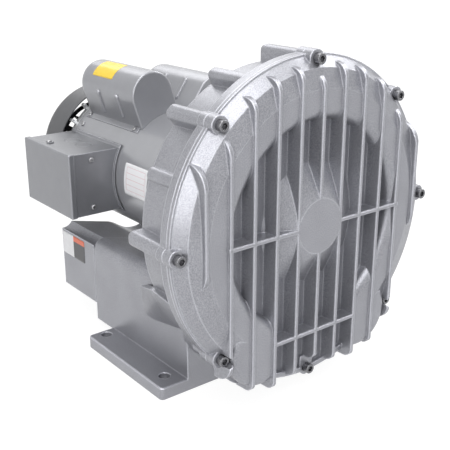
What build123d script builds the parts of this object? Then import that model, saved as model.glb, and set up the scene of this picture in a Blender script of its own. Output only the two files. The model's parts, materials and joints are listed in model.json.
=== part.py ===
from build123d import *
import os
from math import asin, cos, degrees, radians, sin, sqrt

os.makedirs("parts", exist_ok=True)

# A side channel blower: a ribbed front cover and a cast housing hold a vaned impeller, and a
# fan-cooled motor with two capacitors drives it. The housing casting carries the base and the
# muffler box, which the muffler extension closes at the back.
#
# Frame: +Z is up and the shaft lies along Y, with the front cover facing -Y. The origin is the
# centre of the four base holes, on the plane that the base stands on. A "station" is a distance
# along the shaft behind the seam between cover and housing, and is negative in front of it.

# ---- Driving sizes, in millimetres ----

AXIS_H = 205.0              # shaft axis above the floor
SEAM_Y = -155.0             # the seam, from the centre of the base holes
FIT = 0.05                  # radial clearance of seated and running fits
GAP = 0.3                   # clearance of loose inner pieces

# Cover, with the ring of screws that it shares with the housing
SCREW_COUNT = 8
SCREW_CIRCLE_R = 177.8
SCREW_R = 3.97
SCREW_LENGTH = 30.0
SCREW_HEAD_R = 5.95
SCREW_HEAD_H = 7.9
SCREW_SOCKET_AF = 6.35
SCREW_SOCKET_DEPTH = 4.0
EAR_R = 9.5
EAR_FRONT = 13.0            # ear faces ahead of the seam
FLANGE_R = 182.0
COVER_FLANGE_T = 5.0
COVER_WEB_FRONT = 9.0
COVER_WALL = 6.0
LOBE_X = 76.0               # centres of the two lobes over the ports
LOBE_Z = -128.0
LOBE_R = 46.0
LOBE_TOP_Z = -104.0         # the raised pad over a port starts this far below the shaft
RAISED_FRONT = 25.0         # crest of the channel's bulge, and of the pads over the ports
RAISED_R_IN = 115.0
RAISED_R_OUT = 148.0
SHOULDER_R = 169.0
SHOULDER_FRONT = 18.0
SHOULDER_FOOT = 179.5
PAD_MARGIN = 4.0
PAD_EDGE_R = 7.0
POCKET_DEPTH = 11.0
FIN_TIP = 28.0              # fin tips ahead of the seam
FIN_PITCH = 30.5
FIN_TIP_T = 4.4
FIN_ROOT_T = 7.6
FIN_EDGE_R = 1.3
FIN_LOW_CORNER_R = 11.0
# lower and upper end from the shaft, and upper corner radius, from the middle fin outwards
FIN_ENDS = (
    (-163.0, 163.0, 16.0), (-175.0, 172.0, 16.0), (-180.0, 165.0, 16.0),
    (-172.0, 149.0, 16.0), (-150.0, 114.0, 20.0), (-44.0, 91.0, 26.0),
)
HUB_FACE_R = 31.0
HUB_BASE_R = 68.0
CROSS_RIB_T = 4.6
CROSS_RIB_REACH = 125.0
LOWER_RIB_Z = -125.0
LIP_FRONT = 14.0
LIP_T = 6.0

# Side channel, half in the cover and half in the housing
CHANNEL_R = 140.0
CHANNEL_HALF_W = 22.0
CHANNEL_DEPTH = 15.0
CHANNEL_WALL = 5.0
STRIPPER_HALF_W = 61.0      # the channel stops this far each side of the centre plane

# Housing
HOUSING_FLANGE_T = 11.0
HOUSING_R = 168.0
HOUSING_BACK_R = 166.0
HOUSING_DEPTH = 68.0
HOUSING_RIM_T = 8.0
BACK_WALL = 58.0            # station of the motor face
CAVITY_R = 162.0
CAVITY_DEPTH = 36.0
RIB_ROOT_R = 159.0
RIB_END_R = 3.5
RIB_EDGE_SHARE = 0.38       # crest rounding, as a share of the rib's width
EAR_RIB_W = 17.0
EAR_RIB_STEP = 2.8          # the rib's crest is this much lower than the ear
EAR_RIB_R = SCREW_CIRCLE_R + EAR_R - EAR_RIB_STEP
MID_PAD_W = 15.0
SIDE_PADS = ((114.5, 181.0), (157.0, 172.0))     # angle and outer radius, mirrored
PORT_X = 76.0
PORT_Z = 84.0
PORT_R = 20.0

# Base and muffler box, cast with the housing
BASE_FRONT = 65.0           # station of the front face of base and box
BASE_LENGTH = 168.0
BASE_HALF_W = 150.0
BASE_T = 15.0
BASE_HOLE_R = 7.0
BASE_HOLE_SPACING_X = 260.0
BASE_HOLE_SPACING_Y = 133.0
BOX_HALF_W = 113.0
BOX_BACK = 273.5
BOX_BOTTOM_Z = 13.0
BOX_SHOULDER_Z = 126.0
BOX_SHOULDER_R = 16.0
BOX_VALLEY_Z = 95.0
BOX_VALLEY_HALF_W = 42.0
BOX_VALLEY_EDGE_Z = 112.0
BOX_WALL = 7.0
GUSSET_T = 7.0
GUSSET_INSET = 1.0          # the web dies into the side of the box this far below its face
GUSSET_BACK = 162.0
GUSSET_PLATE_Z = (40.0, 99.0)
GUSSET_SPAN = (-158.0, -120.0)      # angles round the shaft
GUSSET_R = (177.0, 171.0)           # outer radius at the flange and at the back of the wall

# Muffler extension and what it closes in
GASKET_T = 1.0
EXT_BACK = 361.0
EXT_BOTTOM_Z = 36.0
EXT_SIDE_Z = 118.0
EXT_RIDGE_X = 98.0
EXT_COVE_R = 16.0
EXT_BACK_WALL = 9.0
EXT_SCREW_R = 4.0
EXT_SCREW_HEAD_R = 6.5
EXT_SCREW_HEAD_H = 8.0
EXT_SCREW_GRIP = 14.0
EXT_COLUMN_R = 8.5
EXT_SCREW_X = 103.0
EXT_SCREW_LOW_Z = 46.0
EXT_SCREW_HIGH_Z = 107.0
PIPE_X = 54.0
PIPE_Z = 73.0
PIPE_R = 28.6
PIPE_THREAD_L = 22.0
PIPE_BOSS_R = 35.0
TUBE_R = 26.0
TUBE_T = 1.2
TUBE_FRONT = 84.0
TUBE_SEAT = 4.0

# Impeller and what holds it on the shaft
RUNNING_GAP = 0.5
IMPELLER_TIP_R = 161.4
IMPELLER_RIM_R = 112.0
VANE_ROOT_R = 119.0
VANE_COUNT = 36
VANE_T = 2.8
IMPELLER_WEB_T = 6.0
IMPELLER_HUB_R = 26.0
IMPELLER_HUB_FRONT = 5.0
DRIVE_R = 11.1
KEY_W = 4.76
KEY_LENGTH = 24.0
SHIM_T = 2.0
RING_T = 1.2
SEAL_R = 22.0
SEAL_FRONT = 46.0
SEAL_T = 8.0

# Motor
MOTOR_R = 83.0
SHELL_T = 2.0
SHELL_FRONT = 74.0
SHELL_BACK = 384.0
PILOT_R = 57.15
PILOT_DEPTH = 4.0
MOUNT_CIRCLE_R = 74.6
MOUNT_BOLT_R = 4.7
MOUNT_HEAD_R = 7.1
MOUNT_HEAD_H = 9.5
MOUNT_BOLT_L = 34.0
REGISTER_L = 6.0
REAR_REGISTER_L = 20.0
THROUGH_CIRCLE_R = 76.5
THROUGH_ANGLES = (15.0, 105.0, 195.0, 285.0)
THROUGH_BOLT_R = 2.4
THROUGH_HEAD_R = 4.0
THROUGH_HEAD_H = 3.5
STACK_FRONT = 130.0
STACK_LENGTH = 160.0
BORE_R = 45.0
AIR_GAP = 0.5
SLOT_COUNT = 36
WINDING_R_IN = 48.0
WINDING_R_OUT = 71.0
WINDING_L = 34.0
END_RING_L = 12.0
END_RING_R_IN = 24.0
CORE_SHAFT_R = 15.0
SWITCH_SHAFT_R = 11.0
FAN_SHAFT_R = 8.0

# Bearings: bore radius, outer radius, width, ball radius, ball count, front station
DRIVE_BEARING = (12.5, 26.0, 15.0, 3.97, 9, 61.0)
FAN_BEARING = (8.5, 20.0, 12.0, 3.37, 8, SHELL_BACK - 12.0)
BALL_CLEARANCE = 0.08

# Centrifugal switch
GOVERNOR_PLATE_R = 34.0
GOVERNOR_PLATE_FRONT = SHELL_BACK - 78.0
GOVERNOR_PLATE_T = 2.5
PIN_Z = 26.0
PIN_STATION = GOVERNOR_PLATE_FRONT + 18.0
PIN_R = 1.5
WEIGHT_HALF_W = 5.5
WEIGHT_EAR_T = 2.0
COLLAR_WALL = 2.0
COLLAR_FLANGE_R = 18.0
COLLAR_GROOVE_W = 4.8
SWITCH_BOARD_STATION = PIN_STATION + 17.0
SWITCH_BOARD_R = 44.0

# Fan end
END_SHIELD_T = 8.0
FAN_FRONT = SHELL_BACK + 14.0
FAN_R = 72.0
FAN_HUB_R = 14.0
FAN_WIDTH = 26.0
SHAFT_END = FAN_FRONT + FAN_WIDTH + 6.0
FAN_BLADES = 8
FAN_BLADE_T = 2.4
FAN_COVER_R = 93.0
FAN_COVER_LENGTH = 53.0
FAN_COVER_FRONT = FAN_FRONT - 1.0
FAN_COVER_BACK = FAN_COVER_FRONT + FAN_COVER_LENGTH
FAN_COVER_T = 1.5
FAN_COVER_EDGE_R = 13.0
GRILLE_RINGS = ((22.0, 30.0), (36.0, 44.0), (50.0, 58.0), (64.0, 72.0))
GRILLE_SPOKE_W = 9.0
GRILLE_SPOKES = 6
LUG_ANGLES = (97.0, 217.0, 337.0)
LUG_W = 14.0
SHIELD_RIBS = 20
SHIELD_RIB_FIRST = 125.0
SHIELD_RIB_T = 3.5
FAN_COVER_SCREW_R = 2.1
SHIELD_SCREW_ANGLES = (142.0, 262.0, 22.0)
SHIELD_SCREW_STATION = SHELL_BACK - 13.0
SHELL_SCREW_R = 1.9

# Capacitors under their drawn covers
CAP_ANGLES = (108.0, 54.5)
CAP_CENTRE_R = 112.0
CAP_HALF_W = 30.0
CAP_SHEET = 1.2
CAP_LENGTH = 138.0
CAP_BACK = SHELL_BACK - 5.0
CAP_FRONT = CAP_BACK - CAP_LENGTH
CAP_FRONT_EDGE_R = 3.0
CAP_BACK_EDGE_R = 13.0
CAP_FLANGE_W = 6.6
CAP_SCREW_HEAD_R = 3.2
CAP_SCREW_SHANK_R = 1.7
CAP_CAN_R = 22.5
CAP_CAN_FRONT = CAP_FRONT + 11.0
CAP_CAN_BACK = CAP_BACK - 17.0
EMBOSS_STATIONS = (CAP_FRONT + 41.0, CAP_FRONT + 87.0)
EMBOSS_R = 103.0
EMBOSS_L = 34.0
EMBOSS_W = 9.0
EMBOSS_H = 2.2

# Conduit box on the motor's left side
CONDUIT_LENGTH = 121.0
CONDUIT_BACK = SHELL_BACK + 0.5
CONDUIT_FRONT = CONDUIT_BACK - CONDUIT_LENGTH
CONDUIT_HALF_H = 40.7
CONDUIT_SHEET = 1.6
CONDUIT_OUTER_X = 145.6
CONDUIT_LIP = 3.5
COVER_LIP = 8.5
COVER_SHEET = 1.2
COVER_TAB = 12.5            # cover screws inboard of the cover
COVER_TAB_STATION = CONDUIT_BACK - 43.5
KNOCKOUT_R = 10.5
KNOCKOUTS = ((-102.5, CONDUIT_BACK - 49.5), (-102.5, CONDUIT_BACK - 80.5))
ENTRY_R = 14.1
CONDUIT_SCREW_R = 3.4

# ---- Helpers ----


def slab(sketch, front, back):
    """Extrude a sketch drawn in world X and Z between two stations."""
    return extrude(Plane.XZ.offset(-(SEAM_Y + back)) * sketch, back - front, dir=(0, -1, 0))


def on_axis(sketch):
    """Centre a sketch on the shaft."""
    return Pos(0, AXIS_H) * sketch


def ring(radius, front, back, bore=0.0):
    """A disc, or a tube when it has a bore, round the shaft."""
    sketch = Circle(radius)
    if bore:
        sketch -= Circle(bore)
    return slab(on_axis(sketch), front, back)


def turn(sketch):
    """Turn a sketch about the shaft: its x is the radius and its y the station."""
    profile = Plane.XY.offset(AXIS_H) * Pos(0, SEAM_Y) * sketch
    return revolve(profile, Axis((0, 0, AXIS_H), (0, 1, 0)), 360)


def turned(*points):
    return turn(Polygon(*points, align=None))


def polar(angle, radius):
    """World X and Z of a point round the shaft; the angle runs from +X towards +Z."""
    return radius * cos(radians(angle)), AXIS_H + radius * sin(radians(angle))


def spread(sketch, angles, radius):
    """Copies of a sketch round the shaft, each turned to its angle."""
    return [Pos(*polar(a, radius)) * Rot(0, 0, a) * sketch for a in angles]


def spaced(count, first=0.0):
    return [first + 360.0 * i / count for i in range(count)]


def block(x_span, front, back, z_span):
    """A box from its spans in world X, station and world Z."""
    size = (x_span[1] - x_span[0], back - front, z_span[1] - z_span[0])
    centre = (sum(x_span) / 2, SEAM_Y + (front + back) / 2, sum(z_span) / 2)
    return Pos(*centre) * Box(*size)


def cap_screw(radius, length, head_r, head_h, socket_af, socket_depth):
    """A socket head screw along +Y with the seat of its head at the local origin."""
    head = Rot(-90, 0, 0) * Pos(0, 0, -head_h / 2) * Cylinder(head_r, head_h)
    head = chamfer(head.edges().sort_by(Axis.Y)[0], head_r / 12)
    shank = Rot(-90, 0, 0) * Pos(0, 0, length / 2) * Cylinder(radius, length)
    socket = extrude(Plane.XZ.offset(head_h) * RegularPolygon(socket_af / sqrt(3), 6), -socket_depth)
    return head + shank - socket


def pan_screw(radius, height, shank_r, shank_l):
    """A pan head screw along +Z with its seat at the local origin."""
    head = Pos(0, 0, height / 2) * Cylinder(radius, height)
    head = fillet(head.edges().sort_by(Axis.Z)[-1], height * 0.6)
    shank = Pos(0, 0, -shank_l / 2) * Cylinder(shank_r, shank_l)
    slot = Pos(0, 0, height) * Box(radius * 1.3, radius * 0.22, height * 0.8)
    return head + shank - slot


SCREW_ANGLES = spaced(SCREW_COUNT)
LOBES = (-LOBE_X, LOBE_X)


# ---- Cover ----


def seam_outline():
    """Outline that cover and housing share: a round flange with two lobes and eight ears."""
    outline = on_axis(Circle(FLANGE_R))
    outline += [Pos(x, AXIS_H + LOBE_Z) * Circle(LOBE_R) for x in LOBES]
    outline += spread(Circle(EAR_R), SCREW_ANGLES, SCREW_CIRCLE_R)
    return outline


def ears(front, back, inner_r):
    """Bosses round the screws, each run in towards the shaft as far as inner_r."""
    reach = SCREW_CIRCLE_R - inner_r
    boss = Circle(EAR_R) + Pos(-reach / 2, 0) * Rectangle(reach, 2 * EAR_R)
    return [slab(part, front, back) for part in spread(boss, SCREW_ANGLES, SCREW_CIRCLE_R)]


def stripper_zone(half_w, front, back):
    """The block below the shaft in which the channel and its bulge are left out."""
    return block((-half_w, half_w), front, back, (0, AXIS_H - HUB_FACE_R))


def cover_fin(x, low, high, low_r, high_r):
    """A drafted fin with rounded tips; low and high are heights from the shaft axis."""
    root = SEAM_Y - COVER_FLANGE_T / 2
    tip = SEAM_Y - FIN_TIP
    plan = Polygon(
        (x - FIN_ROOT_T / 2, root), (x - FIN_TIP_T / 2, tip),
        (x + FIN_TIP_T / 2, tip), (x + FIN_ROOT_T / 2, root), align=None,
    )
    plan = fillet(plan.vertices().group_by(Axis.Y)[0], FIN_EDGE_R)
    fin = extrude(Pos(0, 0, AXIS_H + low) * plan, high - low, dir=(0, 0, 1))
    for end, corner_r, facing in ((low, low_r, 1), (high, high_r, -1)):
        middle = (corner_r - 1) / 2
        corner = Pos(middle, facing * middle) * Rectangle(corner_r + 1, corner_r + 1)
        corner -= Pos(corner_r, facing * corner_r) * Circle(corner_r)
        corner = Plane.YZ.offset(x) * Pos(tip, AXIS_H + end) * corner
        fin -= extrude(corner, FIN_ROOT_T, both=True)
    return fin


def cover_fins():
    fins = []
    for row, (low, high, corner_r) in enumerate(FIN_ENDS):
        low_r = corner_r if row > 3 else FIN_LOW_CORNER_R
        for x in {-row * FIN_PITCH, row * FIN_PITCH}:
            fins.append(cover_fin(x, low, high, low_r, corner_r))
    return fins


def cross_rib(half_reach, z):
    plan = Pos(0, AXIS_H + z) * Rectangle(2 * half_reach, CROSS_RIB_T)
    rib = slab(plan, -FIN_TIP, 0)
    tips = rib.edges().filter_by(Axis.X).group_by(Axis.Y)[0]
    return fillet(tips, FIN_EDGE_R)


def channel_bulge():
    """The raised ring outside the side channel: a flat crest with rounded shoulders."""
    profile = Polygon(
        (SHOULDER_FOOT, 0), (SHOULDER_FOOT, -COVER_FLANGE_T), (SHOULDER_R, -SHOULDER_FRONT),
        (RAISED_R_OUT, -RAISED_FRONT), (RAISED_R_IN, -RAISED_FRONT), (RAISED_R_IN, 0), align=None,
    )
    crest = profile.vertices().group_by(Axis.Y)[0].sort_by(Axis.X)
    return turn(fillet(crest[0], RAISED_FRONT / 2))


def port_pad(x):
    """The raised pad over one port, level with the bulge."""
    pad = Pos(x, AXIS_H + LOBE_Z) * Circle(LOBE_R - PAD_MARGIN)
    pad &= Pos(x, AXIS_H + LOBE_TOP_Z - LOBE_R) * Rectangle(2 * LOBE_R, 2 * LOBE_R)
    pad = slab(pad, -RAISED_FRONT, 0)
    return fillet(pad.edges().group_by(Axis.Y)[0], PAD_EDGE_R)


def front_lip():
    """The web and the raised lip that close the foot of the cover between the ports."""
    zone = Rectangle(2 * STRIPPER_HALF_W + 4, AXIS_H, align=(Align.CENTER, Align.MIN))
    disc = on_axis(Circle(FLANGE_R)) & zone
    edge = disc - on_axis(Circle(FLANGE_R - LIP_T))
    return [slab(disc, -COVER_WEB_FRONT, 0), slab(edge, -LIP_FRONT, 0)]


def front_cover():
    body = slab(seam_outline(), -COVER_FLANGE_T, 0)
    middle = stripper_zone(STRIPPER_HALF_W, -FIN_TIP, FIN_TIP)
    raised = [part - middle for part in (channel_bulge(), *map(port_pad, LOBES))]
    floor = slab(on_axis(Circle(CHANNEL_R)), -COVER_WEB_FRONT, 0)
    hub = turned((0, 0), (HUB_BASE_R, -COVER_WEB_FRONT), (HUB_FACE_R, -FIN_TIP), (0, -FIN_TIP))
    body += [*raised, floor, *front_lip(), hub]
    body += ears(-EAR_FRONT, 0, CHANNEL_R + CHANNEL_HALF_W)
    body += cover_fins()
    body += [cross_rib(CROSS_RIB_REACH, 0), cross_rib(2 * FIN_PITCH, LOWER_RIB_Z)]
    land_r = CHANNEL_R - CHANNEL_HALF_W - 2 * CHANNEL_WALL
    recess = ring(land_r, -(COVER_WEB_FRONT - COVER_WALL), 0)
    closed = stripper_zone(STRIPPER_HALF_W + CHANNEL_WALL, -FIN_TIP, FIN_TIP)
    channel = turn(Pos(CHANNEL_R, 0) * Ellipse(CHANNEL_HALF_W, CHANNEL_DEPTH)) - closed
    pockets = [slab(Pos(x, AXIS_H + LOBE_Z) * Circle(PORT_R), -POCKET_DEPTH, 0) - closed for x in LOBES]
    holes = spread(Circle(SCREW_R + GAP), SCREW_ANGLES, SCREW_CIRCLE_R)
    heads = spread(Circle(SCREW_HEAD_R + 1), SCREW_ANGLES, SCREW_CIRCLE_R)
    cuts = [slab(hole, -FIN_TIP, 0) for hole in holes]
    cuts += [slab(head, -FIN_TIP, -EAR_FRONT) for head in heads]
    return body - [recess, channel, *pockets, *cuts]


def cover_screws():
    screw = cap_screw(
        SCREW_R, SCREW_LENGTH, SCREW_HEAD_R, SCREW_HEAD_H, SCREW_SOCKET_AF, SCREW_SOCKET_DEPTH
    )
    copies = []
    for angle in SCREW_ANGLES:
        x, z = polar(angle, SCREW_CIRCLE_R)
        copies.append(Pos(x, SEAM_Y - EAR_FRONT, z) * screw)
    return Compound(children=copies)


# ---- Housing, base and muffler box ----


def box_outline(inset=0.0):
    """Half outline of the muffler box, mirrored: round shoulders and a valley under the motor."""
    side = BOX_HALF_W - inset
    top = BOX_SHOULDER_Z - inset
    shoulder = BOX_SHOULDER_R - inset / 2
    ridge = side - shoulder
    edge = BOX_VALLEY_EDGE_Z - inset
    valley = BOX_VALLEY_Z - inset
    low = BOX_BOTTOM_Z + inset
    line = Line((0, low), (side, low))
    line += Line((side, low), (side, top - shoulder))
    line += RadiusArc((side, top - shoulder), (ridge, top), -shoulder)
    line += Line((ridge, top), (BOX_VALLEY_HALF_W, edge))
    slope = (edge - top) / (ridge - BOX_VALLEY_HALF_W)
    line += Spline((BOX_VALLEY_HALF_W, edge), (0, valley), tangents=((-1, slope), (-1, 0)))
    line += Line((0, valley), (0, low))
    half = make_face(line)
    return half + mirror(half, Plane.YZ)


def chamber(side, front, back, inset):
    """One of the two muffler chambers, on the given side of the middle wall."""
    half = block((BOX_WALL / 2 + inset - BOX_WALL, BOX_HALF_W), front, back, (0, AXIS_H))
    room = slab(box_outline(inset), front, back) & half
    return room if side > 0 else mirror(room, Plane.YZ)


def gusset(side):
    """A flared web from the side of the muffler box to the rim of the housing."""
    inner = HOUSING_R - 4.5
    flange_end, wall_end = GUSSET_R
    front, back = COVER_FLANGE_T, HOUSING_DEPTH
    collar = turned((inner, front), (flange_end, front), (wall_end, back), (inner, back))
    corners = [polar(angle, 2 * HOUSING_R) for angle in GUSSET_SPAN]
    wedge = Polygon((0, AXIS_H), *corners, align=None)
    collar &= slab(wedge, 0, BASE_FRONT + 20)
    start, end = GUSSET_SPAN
    band = arc_band(inner + 0.5, wall_end - 0.5, start + 0.5, end - 0.5)
    low, high = GUSSET_PLATE_Z
    root_x = -BOX_HALF_W + GUSSET_INSET
    plate = Pos(root_x + GUSSET_T / 2, (low + high) / 2) * Rectangle(GUSSET_T, high - low)
    stations = ((band, HOUSING_DEPTH - 3), (plate, GUSSET_BACK))
    web = loft([Plane.XZ.offset(-(SEAM_Y + place)) * sketch for sketch, place in stations])
    web -= block((root_x + GUSSET_T / 2, 0), BASE_FRONT + 5, BOX_BACK, (0, AXIS_H))
    both = collar + web
    return both if side < 0 else mirror(both, Plane.YZ)


def arc_band(r_in, r_out, start, end):
    """A ring sector between two angles round the shaft."""
    corners = [polar(angle, r) for r in (r_in, r_out) for angle in (start, end)]
    middle = (start + end) / 2
    inner = ThreePointArc(corners[0], polar(middle, r_in), corners[1])
    outer = ThreePointArc(corners[2], polar(middle, r_out), corners[3])
    return make_face([inner, Line(corners[1], corners[3]), outer, Line(corners[2], corners[0])])


def rear_housing():
    body = slab(seam_outline(), 0, HOUSING_FLANGE_T)
    body += turned((0, 0), (HOUSING_R, 0), (HOUSING_BACK_R, HOUSING_DEPTH), (0, HOUSING_DEPTH))
    rim_r = HOUSING_BACK_R - HOUSING_RIM_T
    body -= ring(rim_r, BACK_WALL, HOUSING_DEPTH)
    upper = [a for a in SCREW_ANGLES if a <= 180]
    lower = [a for a in SCREW_ANGLES if a > 180]
    body += [wall_rib(a, EAR_RIB_R, EAR_RIB_W, 0) for a in upper]
    body += [slab(rib_section(a, EAR_RIB_R, EAR_RIB_W), 0, SCREW_LENGTH - 5) for a in lower]
    for angle, reach in SIDE_PADS:
        body += [wall_rib(a, reach, MID_PAD_W, HOUSING_FLANGE_T - 1) for a in (angle, 180 - angle)]
    body += [slab(Pos(x, AXIS_H + LOBE_Z) * Circle(LOBE_R - LIP_T), 0, BASE_FRONT + 5) for x in LOBES]
    neck = box_outline() & on_axis(Circle(rim_r + 2))
    body += slab(neck, BACK_WALL - 4, BASE_FRONT + 4)
    body += [slab(box_outline(), BASE_FRONT, BOX_BACK), base()]
    body += [gusset(-1), gusset(1)]
    cavity = ring(CAVITY_R, 0, CAVITY_DEPTH)
    channel = turn(Pos(CHANNEL_R, CAVITY_DEPTH) * Ellipse(CHANNEL_HALF_W, CHANNEL_DEPTH))
    channel -= stripper_zone(STRIPPER_HALF_W, 0, BASE_FRONT)
    cuts = [cavity, channel]
    cuts += [chamber(side, BASE_FRONT + 10, BOX_BACK, BOX_WALL) for side in (-1, 1)]
    cuts += [slab(Pos(x, PORT_Z) * Circle(PORT_R), CAVITY_DEPTH, BASE_FRONT + 12) for x in (-PORT_X, PORT_X)]
    tapped = spread(Circle(SCREW_R + FIT), SCREW_ANGLES, SCREW_CIRCLE_R)
    cuts += [slab(hole, 0, SCREW_LENGTH - 5) for hole in tapped]
    cuts.append(ring(DRIVE_R + 3, CAVITY_DEPTH, BACK_WALL))
    cuts.append(ring(SEAL_R, SEAL_FRONT, BACK_WALL))
    cuts.append(ring(PILOT_R + FIT, BACK_WALL - PILOT_DEPTH, BACK_WALL))
    mounts = spaced(4, 45)
    shanks = spread(Circle(MOUNT_BOLT_R + GAP), mounts, MOUNT_CIRCLE_R)
    heads = spread(Circle(MOUNT_HEAD_R + 1), mounts, MOUNT_CIRCLE_R)
    cuts += [slab(hole, CAVITY_DEPTH, BACK_WALL) for hole in shanks]
    cuts += [slab(head, CAVITY_DEPTH, CAVITY_DEPTH + MOUNT_HEAD_H + 1) for head in heads]
    body -= cuts
    body += screw_columns(BOX_BACK - 2 * EXT_SCREW_GRIP, BOX_BACK, box_outline(1), 0)
    return body - [slab(h, BOX_BACK - EXT_SCREW_GRIP, BOX_BACK) for h in extension_holes(EXT_SCREW_R + FIT)]


def rib_section(angle, reach, width):
    """A rib on the housing wall, with a rounded crest, out to the given radius."""
    length = reach - RIB_ROOT_R
    rib = Pos(length / 2, 0) * Rectangle(length, width)
    rib = fillet(rib.vertices().group_by(Axis.X)[-1], RIB_EDGE_SHARE * width)
    return Pos(*polar(angle, RIB_ROOT_R)) * Rot(0, 0, angle) * rib


def wall_rib(angle, reach, width, front):
    """A rib along the housing wall with its back end rounded off."""
    rib = slab(rib_section(angle, reach, width), front, HOUSING_DEPTH)
    return fillet(rib.edges().group_by(Axis.Y)[-1], RIB_END_R)


def base():
    """The foot plate, hollow underneath, with its four bolt holes."""
    back = BASE_FRONT + BASE_LENGTH
    plate = block((-BASE_HALF_W, BASE_HALF_W), BASE_FRONT, back, (0, BASE_T))
    plate = fillet(plate.edges().filter_by(Axis.Z), 5)
    plate = chamfer(plate.faces().sort_by(Axis.Z)[-1].edges(), 1)
    half_w = BOX_HALF_W - 2 * BOX_WALL
    inner = block((-half_w, half_w), BASE_FRONT + 12, back - 12, (0, BASE_T / 2))
    holes = [
        Pos(x, y, BASE_T / 2) * Cylinder(BASE_HOLE_R, BASE_T * 2)
        for x in (-BASE_HOLE_SPACING_X / 2, BASE_HOLE_SPACING_X / 2)
        for y in (-BASE_HOLE_SPACING_Y / 2, BASE_HOLE_SPACING_Y / 2)
    ]
    return plate - [inner, *holes]


def screw_columns(front, back, outline, grow):
    """Corner columns for the extension screws, kept inside an outline."""
    columns = [column & outline for column in extension_holes(EXT_COLUMN_R + grow)]
    return [slab(column, front, back) for column in columns]


def extension_holes(radius):
    return [
        Pos(x, z) * Circle(radius)
        for x in (-EXT_SCREW_X, EXT_SCREW_X)
        for z in (EXT_SCREW_LOW_Z, EXT_SCREW_HIGH_Z)
    ]


# ---- Muffler extension, gasket, foam and tubes ----


def extension_outline(inset=0.0):
    """Half outline of the extension, mirrored: a cove each side rises to a ridge."""
    side = BOX_HALF_W - inset
    low = EXT_BOTTOM_Z + inset
    ridge_z = BOX_SHOULDER_Z - 1 - inset
    ridge_x = EXT_RIDGE_X - inset
    edge = BOX_VALLEY_EDGE_Z - inset
    valley = BOX_VALLEY_Z - inset
    slope = (edge - ridge_z) / (ridge_x - BOX_VALLEY_HALF_W)
    line = Line((0, low), (side, low))
    line += Line((side, low), (side, EXT_SIDE_Z - inset))
    line += RadiusArc((side, EXT_SIDE_Z - inset), (ridge_x, ridge_z), EXT_COVE_R)
    line += Line((ridge_x, ridge_z), (BOX_VALLEY_HALF_W, edge))
    line += Spline((BOX_VALLEY_HALF_W, edge), (0, valley), tangents=((-1, slope), (-1, 0)))
    line += Line((0, valley), (0, low))
    half = make_face(line)
    return half + mirror(half, Plane.YZ)


def muffler_extension():
    front = BOX_BACK + GASKET_T
    body = slab(extension_outline(), front, EXT_BACK)
    hollow = extension_outline(BOX_WALL) - Rectangle(BOX_WALL, 4 * AXIS_H)
    body -= slab(hollow, front, EXT_BACK - EXT_BACK_WALL)
    for x in (-PIPE_X, PIPE_X):
        body += slab(Pos(x, PIPE_Z) * Circle(PIPE_BOSS_R), EXT_BACK - PIPE_THREAD_L - TUBE_SEAT, EXT_BACK)
    body += screw_columns(front, EXT_BACK, extension_outline(1), 0)
    for x in (-PIPE_X, PIPE_X):
        body -= slab(Pos(x, PIPE_Z) * Circle(PIPE_R), EXT_BACK - PIPE_THREAD_L, EXT_BACK)
        body -= slab(Pos(x, PIPE_Z) * Circle(TUBE_R + FIT), front, EXT_BACK - PIPE_THREAD_L)
    return body - [slab(h, front, EXT_BACK) for h in extension_holes(EXT_SCREW_R + GAP)]


def muffler_gasket():
    face = extension_outline(0.5) - (extension_outline(BOX_WALL) - Rectangle(BOX_WALL, 4 * AXIS_H))
    face += [h & extension_outline(0.5) for h in extension_holes(EXT_COLUMN_R)]
    face = face & box_outline(0.5)
    return slab(face - extension_holes(EXT_SCREW_R + GAP), BOX_BACK, BOX_BACK + GASKET_T)


def extension_screws():
    length = EXT_BACK - BOX_BACK + EXT_SCREW_GRIP - 2
    screw = cap_screw(
        EXT_SCREW_R, length, EXT_SCREW_HEAD_R, EXT_SCREW_HEAD_H, EXT_SCREW_R * 1.5, EXT_SCREW_HEAD_H / 2
    )
    spots = [(x, z) for x in (-EXT_SCREW_X, EXT_SCREW_X) for z in (EXT_SCREW_LOW_Z, EXT_SCREW_HIGH_Z)]
    return Compound(children=[Pos(x, SEAM_Y + EXT_BACK, z) * Rot(0, 0, 180) * screw for x, z in spots])


def muffler_foam():
    pieces = []
    for side in (-1, 1):
        foam = chamber(side, BASE_FRONT + 10 + GAP, BOX_BACK - GAP, BOX_WALL + GAP)
        foam -= slab(Pos(side * PIPE_X, PIPE_Z) * Circle(TUBE_R + GAP), BASE_FRONT, BOX_BACK)
        foam -= screw_columns(BOX_BACK - 2 * EXT_SCREW_GRIP - GAP, BOX_BACK, box_outline(), GAP)
        pieces.append(foam)
    return Compound(children=pieces)


def muffler_tubes():
    ring_face = Circle(TUBE_R) - Circle(TUBE_R - TUBE_T)
    back = EXT_BACK - PIPE_THREAD_L
    return Compound(
        children=[slab(Pos(x, PIPE_Z) * ring_face, TUBE_FRONT, back) for x in (-PIPE_X, PIPE_X)]
    )


# ---- Impeller, its key, shim and ring, and the shaft seal ----


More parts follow.
